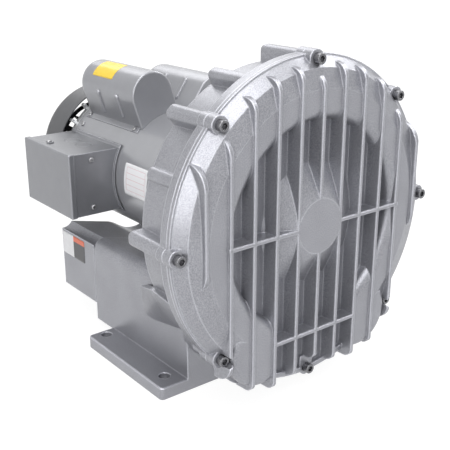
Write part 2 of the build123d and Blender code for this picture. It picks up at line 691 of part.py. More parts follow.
def impeller():
    front = RUNNING_GAP
    back = CAVITY_DEPTH - RUNNING_GAP
    middle = (front + back) / 2
    half_web = IMPELLER_WEB_T / 2
    body = turned(
        (0, IMPELLER_HUB_FRONT), (IMPELLER_HUB_R, IMPELLER_HUB_FRONT),
        (IMPELLER_HUB_R + 4, middle - half_web), (IMPELLER_RIM_R - 4, middle - half_web),
        (IMPELLER_RIM_R, front), (VANE_ROOT_R, front), (VANE_ROOT_R + 6, middle - 4),
        (CHANNEL_R, middle - 1.5), (CHANNEL_R, middle + 1.5), (VANE_ROOT_R + 6, middle + 4),
        (VANE_ROOT_R, back), (IMPELLER_RIM_R, back), (IMPELLER_RIM_R - 4, middle + half_web),
        (IMPELLER_HUB_R + 4, middle + half_web), (IMPELLER_HUB_R, back - SHIM_T + RUNNING_GAP - 1),
        (0, back - SHIM_T + RUNNING_GAP - 1),
    )
    reach = IMPELLER_TIP_R - VANE_ROOT_R + 3
    vane = Pos(-reach / 2, 0) * Rectangle(reach, VANE_T)
    vanes = [slab(v, front, back) for v in spread(vane, spaced(VANE_COUNT), IMPELLER_TIP_R)]
    body += vanes
    body -= ring(DRIVE_R + FIT, 0, back)
    return body - key_block(FIT, 0, CAVITY_DEPTH)


def hub_back():
    return CAVITY_DEPTH - SHIM_T - 1


def key_block(grow, front, back):
    """The key on top of the shaft, half in the shaft and half in the hub."""
    half = KEY_W / 2 + grow
    middle = AXIS_H + DRIVE_R
    return block((-half, half), front, back, (middle - half, middle + half))


def impeller_key():
    return key_block(0, IMPELLER_HUB_FRONT + 2, IMPELLER_HUB_FRONT + 2 + KEY_LENGTH)


def retaining_ring():
    outer = Circle(DRIVE_R + 3) - Circle(DRIVE_R - 0.6)
    outer -= Pos(0, -DRIVE_R - 1) * Rectangle(6, 6)
    return slab(on_axis(outer), IMPELLER_HUB_FRONT - RING_T - 0.1, IMPELLER_HUB_FRONT - 0.1)


def shim_spacer():
    return ring(DRIVE_R + 5, hub_back(), hub_back() + SHIM_T, DRIVE_R + FIT)


def shaft_seal():
    bore = DRIVE_BEARING[0] + FIT
    back = SEAL_FRONT + SEAL_T
    return turned(
        (bore, SEAL_FRONT + 3), (bore + 2, SEAL_FRONT), (SEAL_R - FIT, SEAL_FRONT),
        (SEAL_R - FIT, back), (SEAL_R - 3, back), (SEAL_R - 3, SEAL_FRONT + 3),
        (bore + 2, SEAL_FRONT + 3), (bore + 1, SEAL_FRONT + 5), (bore, SEAL_FRONT + 5),
    )


def motor_mount_bolts():
    screw = cap_screw(MOUNT_BOLT_R, MOUNT_BOLT_L - MOUNT_HEAD_H, MOUNT_HEAD_R, MOUNT_HEAD_H, 8, 4)
    seat = CAVITY_DEPTH + MOUNT_HEAD_H + 1
    spots = [polar(a, MOUNT_CIRCLE_R) for a in spaced(4, 45)]
    return Compound(children=[Pos(x, SEAM_Y + seat, z) * screw for x, z in spots])


# ---- Motor ----


def drive_end_shield():
    bore, outer, width, _, _, front = DRIVE_BEARING
    body = turned(
        (0, BACK_WALL - PILOT_DEPTH + 0.5), (PILOT_R, BACK_WALL - PILOT_DEPTH + 0.5),
        (PILOT_R, BACK_WALL), (MOTOR_R, BACK_WALL), (MOTOR_R, SHELL_FRONT),
        (MOTOR_R - SHELL_T - FIT, SHELL_FRONT), (MOTOR_R - SHELL_T - FIT, SHELL_FRONT + REGISTER_L),
        (MOTOR_R - SHELL_T - 5, SHELL_FRONT + REGISTER_L), (MOTOR_R - SHELL_T - 9, SHELL_FRONT),
        (outer + 8, SHELL_FRONT - 2), (outer + 6, front + width + 2), (0, front + width + 2),
    )
    body -= ring(outer + FIT, front, SHELL_FRONT + REGISTER_L)
    body -= ring(bore + 1.5, 0, front)
    tapped = spread(Circle(MOUNT_BOLT_R + FIT), spaced(4, 45), MOUNT_CIRCLE_R)
    body -= [slab(h, BACK_WALL, SHELL_FRONT - 1) for h in tapped]
    through = spread(Circle(THROUGH_BOLT_R + FIT), THROUGH_ANGLES, THROUGH_CIRCLE_R)
    return body - [slab(h, SHELL_FRONT - 8, SHELL_FRONT + REGISTER_L) for h in through]


def motor_shell():
    body = ring(MOTOR_R, SHELL_FRONT, SHELL_BACK, MOTOR_R - SHELL_T)
    for angle in CAP_ANGLES:
        body -= [cap_frame(angle) * hole for hole in flange_holes(CAP_SCREW_SHANK_R + FIT)]
    y = SEAM_Y + conduit_middle()
    body -= [Pos(-MOTOR_R, y + dy, AXIS_H) * Rot(0, 90, 0) * Cylinder(1.8 + FIT, 12) for dy in (-28, 28)]
    body -= Pos(-MOTOR_R, y, AXIS_H) * Rot(0, 90, 0) * Cylinder(10, 20)
    return body - radial_holes(MOTOR_R, SHIELD_SCREW_STATION, SHIELD_SCREW_ANGLES, SHELL_SCREW_R + 0.1)


def radial_holes(radius, station, angles, hole_r):
    """Radial holes through a band of the given radius."""
    holes = []
    for angle in angles:
        x, z = polar(angle, radius)
        holes.append(Pos(x, SEAM_Y + station, z) * Rot(0, 90 - angle, 0) * Cylinder(hole_r, 18))
    return holes


def radial_screws(radius, station, angles, screw):
    """Screws pointing at the shaft, with their heads seated on the given radius."""
    copies = []
    for angle in angles:
        x, z = polar(angle, radius)
        copies.append(Pos(x, SEAM_Y + station, z) * Rot(0, 90 - angle, 0) * screw)
    return Compound(children=copies)


def shell_screws():
    screw = pan_screw(3.6, 2.4, SHELL_SCREW_R, 8)
    return radial_screws(MOTOR_R, SHIELD_SCREW_STATION, SHIELD_SCREW_ANGLES, screw)


def rear_end_shield():
    _, outer, width, _, _, front = FAN_BEARING
    back = SHELL_BACK + END_SHIELD_T
    inner_r = MOTOR_R - SHELL_T - FIT
    register = SHELL_BACK - REAR_REGISTER_L
    body = turned(
        (0, front - 2), (outer + 7, front - 2), (outer + 9, SHELL_BACK),
        (inner_r - 9, SHELL_BACK), (inner_r - 5, register), (inner_r, register),
        (inner_r, SHELL_BACK), (MOTOR_R, SHELL_BACK), (MOTOR_R, back), (0, back),
    )
    reach = FAN_COVER_R - FAN_COVER_T - FIT
    lug = Pos(-9, 0) * Rectangle(18, LUG_W)
    body += [slab(part, back - 4, back + 17) for part in spread(lug, LUG_ANGLES, reach)]
    rib = Pos(-6, 0) * Rectangle(12, SHIELD_RIB_T)
    ribs = spread(rib, spaced(SHIELD_RIBS, SHIELD_RIB_FIRST), reach - 2)
    body += [slab(part, back - 2, back + 6) for part in ribs]
    body &= ring(reach, 0, FAN_COVER_BACK)
    body -= ring(outer + FIT, front - 2, front + width + 2.5)
    body -= ring(FAN_SHAFT_R + 1, 0, FAN_COVER_BACK)
    through = spread(Circle(THROUGH_BOLT_R + GAP), THROUGH_ANGLES, THROUGH_CIRCLE_R)
    body -= [slab(h, register, back) for h in through]
    heads = spread(Circle(THROUGH_HEAD_R + 1), THROUGH_ANGLES, THROUGH_CIRCLE_R)
    body -= [slab(h, back, back + 17) for h in heads]
    posts = spread(Circle(2 + FIT), spaced(2), SWITCH_BOARD_R - 8)
    body -= [slab(h, SHELL_BACK - 4, SHELL_BACK + 4) for h in posts]
    body -= radial_holes(MOTOR_R, SHIELD_SCREW_STATION, SHIELD_SCREW_ANGLES, SHELL_SCREW_R + FIT)
    station = FAN_COVER_FRONT + 6
    return body - radial_holes(FAN_COVER_R, station, LUG_ANGLES, FAN_COVER_SCREW_R + FIT)


def through_bolts():
    front = SHELL_FRONT - 7
    back = SHELL_BACK + END_SHIELD_T
    shanks = spread(Circle(THROUGH_BOLT_R), THROUGH_ANGLES, THROUGH_CIRCLE_R)
    heads = spread(RegularPolygon(THROUGH_HEAD_R, 6), THROUGH_ANGLES, THROUGH_CIRCLE_R)
    bolts = []
    for shank, head in zip(shanks, heads):
        bolts.append(slab(shank, front, back) + slab(head, back, back + THROUGH_HEAD_H))
    return Compound(children=bolts)


def stator_core():
    """The laminated stack, with its winding slots open to the bore."""
    outer = MOTOR_R - SHELL_T - FIT
    sketch = Circle(outer) - Circle(BORE_R)
    slot_l = WINDING_R_OUT - 4 - BORE_R
    slot = Pos(slot_l / 2, 0) * Rectangle(slot_l, 3.6)
    sketch = on_axis(sketch) - spread(slot, spaced(SLOT_COUNT, 5), BORE_R - 1)
    sketch -= spread(Circle(THROUGH_BOLT_R + GAP), THROUGH_ANGLES, THROUGH_CIRCLE_R)
    return slab(sketch, STACK_FRONT, STACK_FRONT + STACK_LENGTH)


def stator_windings():
    """Two bundles of end turns, one at each end of the stack."""
    stack_back = STACK_FRONT + STACK_LENGTH
    middle_r = (WINDING_R_IN + WINDING_R_OUT) / 2
    section = RectangleRounded(WINDING_R_OUT - WINDING_R_IN, WINDING_L - 0.4, 7)
    ends = [STACK_FRONT - WINDING_L / 2, stack_back + WINDING_L / 2]
    return Compound(children=[turn(Pos(middle_r, s) * section) for s in ends])


def rotor_core():
    """The rotor stack between its cast end rings, which carry short mixing vanes."""
    radius = BORE_R - AIR_GAP
    back = STACK_FRONT + STACK_LENGTH
    body = ring(radius, STACK_FRONT, back, CORE_SHAFT_R + FIT)
    body += ring(radius - 1, STACK_FRONT - END_RING_L, STACK_FRONT, END_RING_R_IN)
    body += ring(radius - 1, back, back + END_RING_L, END_RING_R_IN)
    vane = Pos(-6, 0) * Rectangle(10, 2.5)
    for part in spread(vane, spaced(8), radius - 2):
        body += slab(part, STACK_FRONT - END_RING_L - 8, STACK_FRONT)
    return body


def motor_shaft():
    bore = DRIVE_BEARING[0]
    shoulder = DRIVE_BEARING[5] + DRIVE_BEARING[2]
    fan_seat = FAN_BEARING[5]
    rotor_back = STACK_FRONT + STACK_LENGTH + END_RING_L
    seat_r = FAN_BEARING[0] - FIT
    ring_front = IMPELLER_HUB_FRONT - RING_T - 0.2
    points = [
        (0, 1), (DRIVE_R - 1, 1), (DRIVE_R, 2), (DRIVE_R, ring_front), (DRIVE_R - 0.7, ring_front),
        (DRIVE_R - 0.7, IMPELLER_HUB_FRONT), (DRIVE_R, IMPELLER_HUB_FRONT),
        (DRIVE_R, hub_back() + SHIM_T), (bore - FIT, hub_back() + SHIM_T), (bore - FIT, shoulder),
        (CORE_SHAFT_R, shoulder), (CORE_SHAFT_R, rotor_back), (SWITCH_SHAFT_R, rotor_back),
        (SWITCH_SHAFT_R, fan_seat), (seat_r, fan_seat), (seat_r, fan_seat + FAN_BEARING[2] + 2),
        (FAN_SHAFT_R, fan_seat + FAN_BEARING[2] + 2), (FAN_SHAFT_R, SHAFT_END), (0, SHAFT_END),
    ]
    key_front = IMPELLER_HUB_FRONT + 2
    return turned(*points) - key_block(FIT, key_front - FIT, key_front + KEY_LENGTH + FIT)


# ---- Bearings ----


def bearing_pitch(bearing):
    return (bearing[0] + bearing[1]) / 2


def bearing_rings(bearing):
    """Outer and inner ring, each with its ball groove."""
    bore, outer, width, ball_r, _, front = bearing
    pitch = bearing_pitch(bearing)
    back = front + width
    groove = turn(Pos(pitch, front + width / 2) * Circle(ball_r + BALL_CLEARANCE))
    outer_ring = ring(outer, front, back, pitch + ball_r * 0.55) - groove
    inner_ring = ring(pitch - ball_r * 0.55, front, back, bore) - groove
    return outer_ring, inner_ring


def bearing_balls(bearing):
    _, _, width, ball_r, count, front = bearing
    y = SEAM_Y + front + width / 2
    spots = [polar(a, bearing_pitch(bearing)) for a in spaced(count, 90)]
    return Compound(children=[Pos(x, y, z) * Sphere(ball_r) for x, z in spots])


def bearing_cage(bearing):
    """A cage band with a round pocket for each ball."""
    _, _, width, ball_r, count, front = bearing
    pitch = bearing_pitch(bearing)
    middle = front + width / 2
    half = ball_r + 1
    band = ring(pitch + 0.9, middle - half, middle + half, pitch - 0.9)
    pockets = []
    for angle in spaced(count, 90):
        x, z = polar(angle, pitch)
        pocket = Rot(0, 90 - angle, 0) * Cylinder(ball_r + BALL_CLEARANCE, 8)
        pockets.append(Pos(x, SEAM_Y + middle, z) * pocket)
    return band - pockets


def wave_spring():
    """The preload spring behind the fan-end bearing."""
    _, outer, width, _, _, front = FAN_BEARING
    return ring(outer - 0.5, front + width + 0.3, front + width + 2, outer - 4)


# ---- Centrifugal switch ----


def governor_plate():
    back = GOVERNOR_PLATE_FRONT + GOVERNOR_PLATE_T
    body = ring(GOVERNOR_PLATE_R, GOVERNOR_PLATE_FRONT, back, SWITCH_SHAFT_R + FIT)
    body += ring(SWITCH_SHAFT_R + 4, GOVERNOR_PLATE_FRONT - 3, back + 1, SWITCH_SHAFT_R + FIT)
    inner = WEIGHT_HALF_W + 0.5
    for z in (-PIN_Z, PIN_Z):
        for side in (-1, 1):
            x_span = sorted((side * inner, side * (inner + WEIGHT_EAR_T)))
            body += block(x_span, back - 1, PIN_STATION + 4, (AXIS_H + z - 4, AXIS_H + z + 4))
    return body - [pin(z, PIN_R + FIT) for z in (-PIN_Z, PIN_Z)]


def pin(z, radius):
    length = 2 * (WEIGHT_HALF_W + 0.5 + WEIGHT_EAR_T)
    return Pos(0, SEAM_Y + PIN_STATION, AXIS_H + z) * Rot(0, 90, 0) * Cylinder(radius, length)


def governor_pins():
    return Compound(children=[pin(z, PIN_R) for z in (-PIN_Z, PIN_Z)])


def governor_weight(side):
    """A weight above its pin, with a finger that reaches into the collar's groove."""
    profile = Circle(3.6)
    profile += Pos(-8, 3) * RectangleRounded(12, 8, 1.5)
    profile += Pos(0, -6) * Rectangle(2.4, 12)
    profile = Plane.YZ * Pos(SEAM_Y + PIN_STATION, PIN_Z) * profile
    weight = extrude(profile, WEIGHT_HALF_W, both=True)
    weight = weight if side > 0 else mirror(weight, Plane.XY)
    return Pos(0, 0, AXIS_H) * weight - pin(side * PIN_Z, PIN_R + FIT)


def switch_collar():
    half = COLLAR_GROOVE_W / 2
    bore = SWITCH_SHAFT_R + FIT
    sleeve_r = bore + COLLAR_WALL
    front = PIN_STATION - half - 2
    back = PIN_STATION + half + 2
    return turned(
        (bore, front), (COLLAR_FLANGE_R, front), (COLLAR_FLANGE_R, front + 2),
        (sleeve_r, front + 2), (sleeve_r, back - 2), (COLLAR_FLANGE_R + 2, back - 2),
        (COLLAR_FLANGE_R + 2, back), (sleeve_r, back), (sleeve_r, back + 5), (bore, back + 5),
    )


def start_switch():
    """The fixed half of the switch: a board on two posts, with a contact arm at the collar."""
    board = on_axis(Circle(SWITCH_BOARD_R) - Circle(COLLAR_FLANGE_R + 4))
    board -= Pos(0, AXIS_H + 10 + SWITCH_BOARD_R / 2) * Rectangle(2 * SWITCH_BOARD_R, SWITCH_BOARD_R)
    body = slab(board, SWITCH_BOARD_STATION, SWITCH_BOARD_STATION + 2)
    for part in spread(Circle(2), spaced(2), SWITCH_BOARD_R - 8):
        body += slab(part, SWITCH_BOARD_STATION + 1, SHELL_BACK + 3)
    front = SEAM_Y + PIN_STATION + COLLAR_GROOVE_W / 2 + 3
    back = SEAM_Y + SWITCH_BOARD_STATION + 1
    low = AXIS_H - SWITCH_BOARD_R + 10
    step = low + 8
    arm = Polygon(
        (front, low), (back, low), (back, step), (front + 1.5, step),
        (front + 1.5, AXIS_H - COLLAR_FLANGE_R + 2), (front, AXIS_H - COLLAR_FLANGE_R + 2), align=None,
    )
    return body + extrude(Plane.YZ * arm, 4, both=True)


# ---- Fan and fan cover ----


def cooling_fan():
    back = FAN_FRONT + FAN_WIDTH
    body = turned(
        (FAN_SHAFT_R, FAN_FRONT), (FAN_R - 4, FAN_FRONT), (FAN_R - 4, FAN_FRONT + 2.5),
        (FAN_HUB_R + 3, FAN_FRONT + 4), (FAN_HUB_R, back - 2), (FAN_SHAFT_R, back - 2),
    )
    blade_l = FAN_R - FAN_HUB_R
    blade = Pos(-blade_l / 2, 0) * Rectangle(blade_l + 2, FAN_BLADE_T)
    blades = [slab(b, FAN_FRONT, back) for b in spread(blade, spaced(FAN_BLADES), FAN_R)]
    return body + blades - ring(FAN_SHAFT_R + FIT / 2, 0, SHAFT_END)


def cup_profile(radius, front, back, edge_r):
    line = Line((0, front), (radius, front))
    line += Line((radius, front), (radius, back - edge_r))
    line += RadiusArc((radius, back - edge_r), (radius - edge_r, back), -edge_r)
    line += Line((radius - edge_r, back), (0, back))
    line += Line((0, back), (0, front))
    return make_face(line)


def fan_cover():
    t = FAN_COVER_T
    body = turn(cup_profile(FAN_COVER_R, FAN_COVER_FRONT, FAN_COVER_BACK, FAN_COVER_EDGE_R))
    body -= turn(
        cup_profile(FAN_COVER_R - t, FAN_COVER_FRONT, FAN_COVER_BACK - t, FAN_COVER_EDGE_R - t)
    )
    spoke_l = FAN_COVER_R
    spoke = Pos(spoke_l / 2, 0) * Rectangle(spoke_l, GRILLE_SPOKE_W)
    spokes = [on_axis(Rot(0, 0, a) * spoke) for a in spaced(GRILLE_SPOKES, 90)]
    for r_in, r_out in GRILLE_RINGS:
        slots = on_axis(Circle(r_out) - Circle(r_in)) - spokes
        body -= slab(slots, FAN_COVER_BACK - 2 * t, FAN_COVER_BACK + t)
    station = FAN_COVER_FRONT + 6
    return body - radial_holes(FAN_COVER_R, station, LUG_ANGLES, FAN_COVER_SCREW_R + GAP)


def fan_cover_screws():
    screw = pan_screw(4.2, 2.6, FAN_COVER_SCREW_R, 8)
    return radial_screws(FAN_COVER_R, FAN_COVER_FRONT + 6, LUG_ANGLES, screw)


# ---- Capacitors and their covers ----


def cap_frame(angle):
    """Frame on the shaft whose x runs out through a capacitor and whose z is the station axis."""
    direction = (cos(radians(angle)), 0, sin(radians(angle)))
    return Plane(origin=(0, SEAM_Y, AXIS_H), x_dir=direction, z_dir=(0, 1, 0))


def cap_hood(shrink, front, back, front_edge, back_edge):
    """The D-shaped hood: a round crown over straight sides, with its two ends rounded."""
    half = CAP_HALF_W - shrink
    section = Pos(CAP_CENTRE_R / 2, 0) * Rectangle(CAP_CENTRE_R, 2 * half)
    section += Pos(CAP_CENTRE_R, 0) * Circle(half)
    hood = extrude(Plane.XY.offset(front) * section, back - front)
    hood -= Pos(0, 0, (front + back) / 2) * Box(MOTOR_R, 3 * half, 2 * (back - front))
    outer = hood.edges().filter_by(lambda e: e.center().X > MOTOR_R / 2 + 1)
    hood = fillet(outer.group_by(Axis.Z)[0], front_edge)
    outer = hood.edges().filter_by(lambda e: e.center().X > MOTOR_R / 2 + 1)
    return fillet(outer.group_by(Axis.Z)[-1], back_edge)


def embossed_rib(side, place):
    """A raised bead on one side of a hood."""
    bead = Rot(90, 0, 0) * extrude(SlotOverall(EMBOSS_L, EMBOSS_W), EMBOSS_H, both=True)
    bead = fillet(bead.edges().group_by(Axis.Y)[-1 if side > 0 else 0], 0.9 * EMBOSS_H)
    return Pos(EMBOSS_R, side * CAP_HALF_W, place) * bead


def capacitor_cover(angle):
    seat = MOTOR_R + FIT
    hood = cap_hood(0, CAP_FRONT, CAP_BACK, CAP_FRONT_EDGE_R, CAP_BACK_EDGE_R)
    hood += [embossed_rib(side, place) for side in (-1, 1) for place in EMBOSS_STATIONS]
    inner = cap_hood(
        CAP_SHEET, CAP_FRONT + CAP_SHEET, CAP_BACK - CAP_SHEET,
        CAP_FRONT_EDGE_R - CAP_SHEET, CAP_BACK_EDGE_R - CAP_SHEET,
    )
    middle = (CAP_FRONT + CAP_BACK) / 2
    flange_w = 2 * (CAP_HALF_W + CAP_FLANGE_W)
    flange = Pos(0, 0, middle) * Cylinder(seat + CAP_SHEET, CAP_BACK - CAP_FRONT - 8)
    flange &= Pos(MOTOR_R, 0, middle) * Box(MOTOR_R, flange_w, CAP_BACK)
    body = hood + flange - inner
    body -= Pos(0, 0, middle) * Cylinder(seat, CAP_BACK)
    return cap_frame(angle) * (body - flange_holes(CAP_SCREW_SHANK_R + 0.1))


def flange_placements():
    """Placements of the four flange screws in the capacitor's frame."""
    seat = MOTOR_R + FIT + CAP_SHEET
    across = CAP_HALF_W + CAP_FLANGE_W / 2
    lean = degrees(asin(across / seat))
    placements = []
    for side in (-1, 1):
        for place in (CAP_FRONT + 14, CAP_BACK - 12):
            spot = Pos(sqrt(seat**2 - across**2), side * across, place)
            placements.append(spot * Rot(0, 0, side * lean) * Rot(0, 90, 0))
    return placements


def flange_holes(radius):
    return [placement * Cylinder(radius, 12) for placement in flange_placements()]


def capacitor_cover_screws():
    screw = pan_screw(CAP_SCREW_HEAD_R, 2.2, CAP_SCREW_SHANK_R, CAP_SHEET + SHELL_T)
    frames = [cap_frame(angle) for angle in CAP_ANGLES]
    return Compound(children=[f * p * screw for f in frames for p in flange_placements()])


def capacitor(angle, ends_r):
    """A round can that lies on the motor shell, with two tabs on its end."""
    centre = MOTOR_R + CAP_CAN_R + FIT
    length = CAP_CAN_BACK - CAP_CAN_FRONT
    can = Pos(centre, 0, CAP_CAN_FRONT + length / 2) * Cylinder(CAP_CAN_R, length)
    can = fillet(can.edges().filter_by(GeomType.CIRCLE), ends_r)
    for y in (-6, 6):
        can += Pos(centre, y, CAP_CAN_FRONT - 2) * Box(0.8, 6.3, 6)
    return cap_frame(angle) * can


# ---- Conduit box ----


def conduit_middle():
    return (CONDUIT_FRONT + CONDUIT_BACK) / 2


def conduit_block(shrink, x_out, seat_r):
    """A block from the motor out to x_out, hollowed by the motor's round at its inner end."""
    z_span = (AXIS_H - CONDUIT_HALF_H + shrink, AXIS_H + CONDUIT_HALF_H - shrink)
    body = block((-x_out, -MOTOR_R / 2), CONDUIT_FRONT + shrink, CONDUIT_BACK - shrink, z_span)
    return body - ring(seat_r, 0, CONDUIT_BACK + 20)


def conduit_box():
    seat = MOTOR_R + GASKET_T
    body = conduit_block(0, CONDUIT_OUTER_X, seat)
    body += conduit_block(-CONDUIT_LIP, CONDUIT_OUTER_X, seat) & ring(seat + CONDUIT_SHEET, 0, 500)
    body -= conduit_block(CONDUIT_SHEET, CONDUIT_OUTER_X + 5, seat + CONDUIT_SHEET)
    y = SEAM_Y + conduit_middle()
    lead_hole = Pos(-seat, y, AXIS_H) * Rot(0, 90, 0) * Cylinder(11, 20)
    entry = Pos(-conduit_entry_x(), SEAM_Y + CONDUIT_BACK, AXIS_H) * Rot(90, 0, 0) * Cylinder(ENTRY_R, 6)
    cuts = [lead_hole, entry]
    cuts += [Pos(*s) * Rot(90, 0, 0) * Cylinder(1.9, 5) for s in conduit_side_spots()]
    cuts += [Pos(*s) * Cylinder(1.9, 8) for s in conduit_cover_spots()]
    cuts += [Pos(-seat, y + dy, AXIS_H) * Rot(0, 90, 0) * Cylinder(1.9, 12) for dy in (-28, 28)]
    groove = Circle(KNOCKOUT_R) - Circle(KNOCKOUT_R - 0.8)
    for x, place in KNOCKOUTS:
        spot = Plane.XY.offset(AXIS_H + CONDUIT_HALF_H) * Pos(x, SEAM_Y + place)
        cuts.append(extrude(spot * groove, -0.5))
    return body - cuts


def conduit_entry_x():
    return (CONDUIT_OUTER_X + MOTOR_R) / 2 + 3


def conduit_side_spots():
    """Two screws through the front wall of the box."""
    return [(-115, SEAM_Y + CONDUIT_FRONT, AXIS_H + z) for z in (-31, 31)]


def conduit_cover_spots():
    """One screw at the top and one at the bottom hold the cover by its tabs."""
    y = SEAM_Y + COVER_TAB_STATION
    return [(-CONDUIT_OUTER_X + COVER_TAB, y, AXIS_H + z) for z in (-CONDUIT_HALF_H, CONDUIT_HALF_H)]


def conduit_gasket():
    body = conduit_block(0, CONDUIT_OUTER_X, MOTOR_R + FIT)
    body &= ring(MOTOR_R + GASKET_T - FIT, CONDUIT_FRONT, CONDUIT_BACK)
    y = SEAM_Y + conduit_middle()
    body -= Pos(-MOTOR_R, y, AXIS_H) * Rot(0, 90, 0) * Cylinder(14, 20)
    return body - [Pos(-MOTOR_R, y + dy, AXIS_H) * Rot(0, 90, 0) * Cylinder(1.9, 12) for dy in (-28, 28)]


def conduit_cover():
    grow = COVER_SHEET + FIT
    half = CONDUIT_HALF_H + grow
    x_out = CONDUIT_OUTER_X + COVER_SHEET + FIT
    outer = block(
        (-x_out, -x_out + COVER_LIP), CONDUIT_FRONT - grow, CONDUIT_BACK + grow,
        (AXIS_H - half, AXIS_H + half),
    )
    outer = fillet(outer.edges().filter_by(Axis.Y), 1.8)
    outer = fillet(outer.faces().sort_by(Axis.X)[0].edges().filter_by(Axis.Z), 1.8)
    place = COVER_TAB_STATION
    x_span = (-CONDUIT_OUTER_X, -CONDUIT_OUTER_X + COVER_TAB + 6)
    tabs = block(x_span, place - 6, place + 6, (AXIS_H - half, AXIS_H + half))
    outer += fillet(tabs.edges().filter_by(Axis.Z).group_by(Axis.X)[-1], 5)
    inner = block(
        (-CONDUIT_OUTER_X - FIT, 0), CONDUIT_FRONT - FIT, CONDUIT_BACK + FIT,
        (AXIS_H - CONDUIT_HALF_H - FIT, AXIS_H + CONDUIT_HALF_H + FIT),
    )
    return outer - inner - [Pos(*s) * Cylinder(1.9, 8) for s in conduit_cover_spots()]


def conduit_box_screws():
    """Two screws in the front wall and two that hold the box to the motor shell."""
    wall_screw = Rot(90, 0, 0) * pan_screw(CONDUIT_SCREW_R, 2.2, 1.8, 4)
    copies = [Pos(*s) * wall_screw for s in conduit_side_spots()]
    base_screw = Rot(0, -90, 0) * pan_screw(CONDUIT_SCREW_R, 2.2, 1.8, GASKET_T + CONDUIT_SHEET + 1)
    x = -(MOTOR_R + GASKET_T + CONDUIT_SHEET)
    y = SEAM_Y + conduit_middle()
    copies += [Pos(x, y + dy, AXIS_H) * base_screw for dy in (-28, 28)]
    return Compound(children=copies)


def conduit_cover_screws():
    screw = pan_screw(CONDUIT_SCREW_R, 2.2, 1.8, 4)
    low, high = conduit_cover_spots()
    lift = COVER_SHEET + FIT
    top = Pos(high[0], high[1], high[2] + lift) * screw
    bottom = Pos(low[0], low[1], low[2] - lift) * Rot(180, 0, 0) * screw
    return Compound(children=[top, bottom])


def terminal_block():
    """A moulded block with two rows of studs, screwed inside the front wall of the box."""
    y_front = CONDUIT_FRONT + CONDUIT_SHEET
    body = block((-128, -100), y_front, y_front + 12, (AXIS_H - 24, AXIS_H + 24))
    for z in (-18, -6, 6, 18):
        body += Pos(-114, SEAM_Y + y_front + 15, AXIS_H + z) * Rot(90, 0, 0) * Cylinder(2.4, 6)
    for z in (-12, 0, 12):
        body += block((-128, -100), y_front, y_front + 15, (AXIS_H + z - 0.7, AXIS_H + z + 0.7))
    return body


# ---- Build and export ----

drive_outer, drive_inner = bearing_rings(DRIVE_BEARING)
fan_outer, fan_inner = bearing_rings(FAN_BEARING)

PARTS = {
    "front_cover": front_cover(),
    "cover_screws": cover_screws(),
    "rear_housing": rear_housing(),
    "muffler_gasket": muffler_gasket(),
    "muffler_extension": muffler_extension(),
    "extension_screws": extension_screws(),
    "muffler_foam": muffler_foam(),
    "muffler_tubes": muffler_tubes(),
    "impeller": impeller(),
    "impeller_key": impeller_key(),
    "retaining_ring": retaining_ring(),
    "shim_spacer": shim_spacer(),
    "shaft_seal": shaft_seal(),
    "motor_mount_bolts": motor_mount_bolts(),
    "drive_end_shield": drive_end_shield(),
    "motor_shell": motor_shell(),
    "rear_end_shield": rear_end_shield(),
    "through_bolts": through_bolts(),
    "shell_screws": shell_screws(),
    "stator_core": stator_core(),
    "stator_windings": stator_windings(),
    "rotor_core": rotor_core(),
    "motor_shaft": motor_shaft(),
    "drive_bearing_outer_ring": drive_outer,
    "drive_bearing_inner_ring": drive_inner,
    "drive_bearing_balls": bearing_balls(DRIVE_BEARING),
    "drive_bearing_cage": bearing_cage(DRIVE_BEARING),
    "fan_bearing_outer_ring": fan_outer,
    "fan_bearing_inner_ring": fan_inner,
    "fan_bearing_balls": bearing_balls(FAN_BEARING),
    "fan_bearing_cage": bearing_cage(FAN_BEARING),
    "wave_spring": wave_spring(),
    "governor_plate": governor_plate(),
    "governor_pins": governor_pins(),
    "upper_governor_weight": governor_weight(1),
    "lower_governor_weight": governor_weight(-1),
    "switch_collar": switch_collar(),
    "start_switch": start_switch(),
    "cooling_fan": cooling_fan(),
    "fan_cover": fan_cover(),
    "fan_cover_screws": fan_cover_screws(),
    "start_capacitor_cover": capacitor_cover(CAP_ANGLES[0]),
    "run_capacitor_cover": capacitor_cover(CAP_ANGLES[1]),
    "capacitor_cover_screws": capacitor_cover_screws(),
    "start_capacitor": capacitor(CAP_ANGLES[0], 1.0),
    "run_capacitor": capacitor(CAP_ANGLES[1], 3.0),
    "conduit_box": conduit_box(),
    "conduit_gasket": conduit_gasket(),
    "conduit_box_screws": conduit_box_screws(),
    "conduit_cover": conduit_cover(),
    "conduit_cover_screws": conduit_cover_screws(),
    "terminal_block": terminal_block(),
}

for name, part in PARTS.items():
    export_step(part, f"parts/{name}.step")
print(len(PARTS), "sub-parts written")
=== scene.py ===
# %% [markdown]
# # A side channel blower, dressed in Blender
# The solid model comes packed from CAD as a fixed frame. Blender adds what CAD leaves out: paint,
# cast grain, dull steel screws, stickers, light and a camera. The frame is loaded first, because
# everything else is placed against it and rides on its bodies.

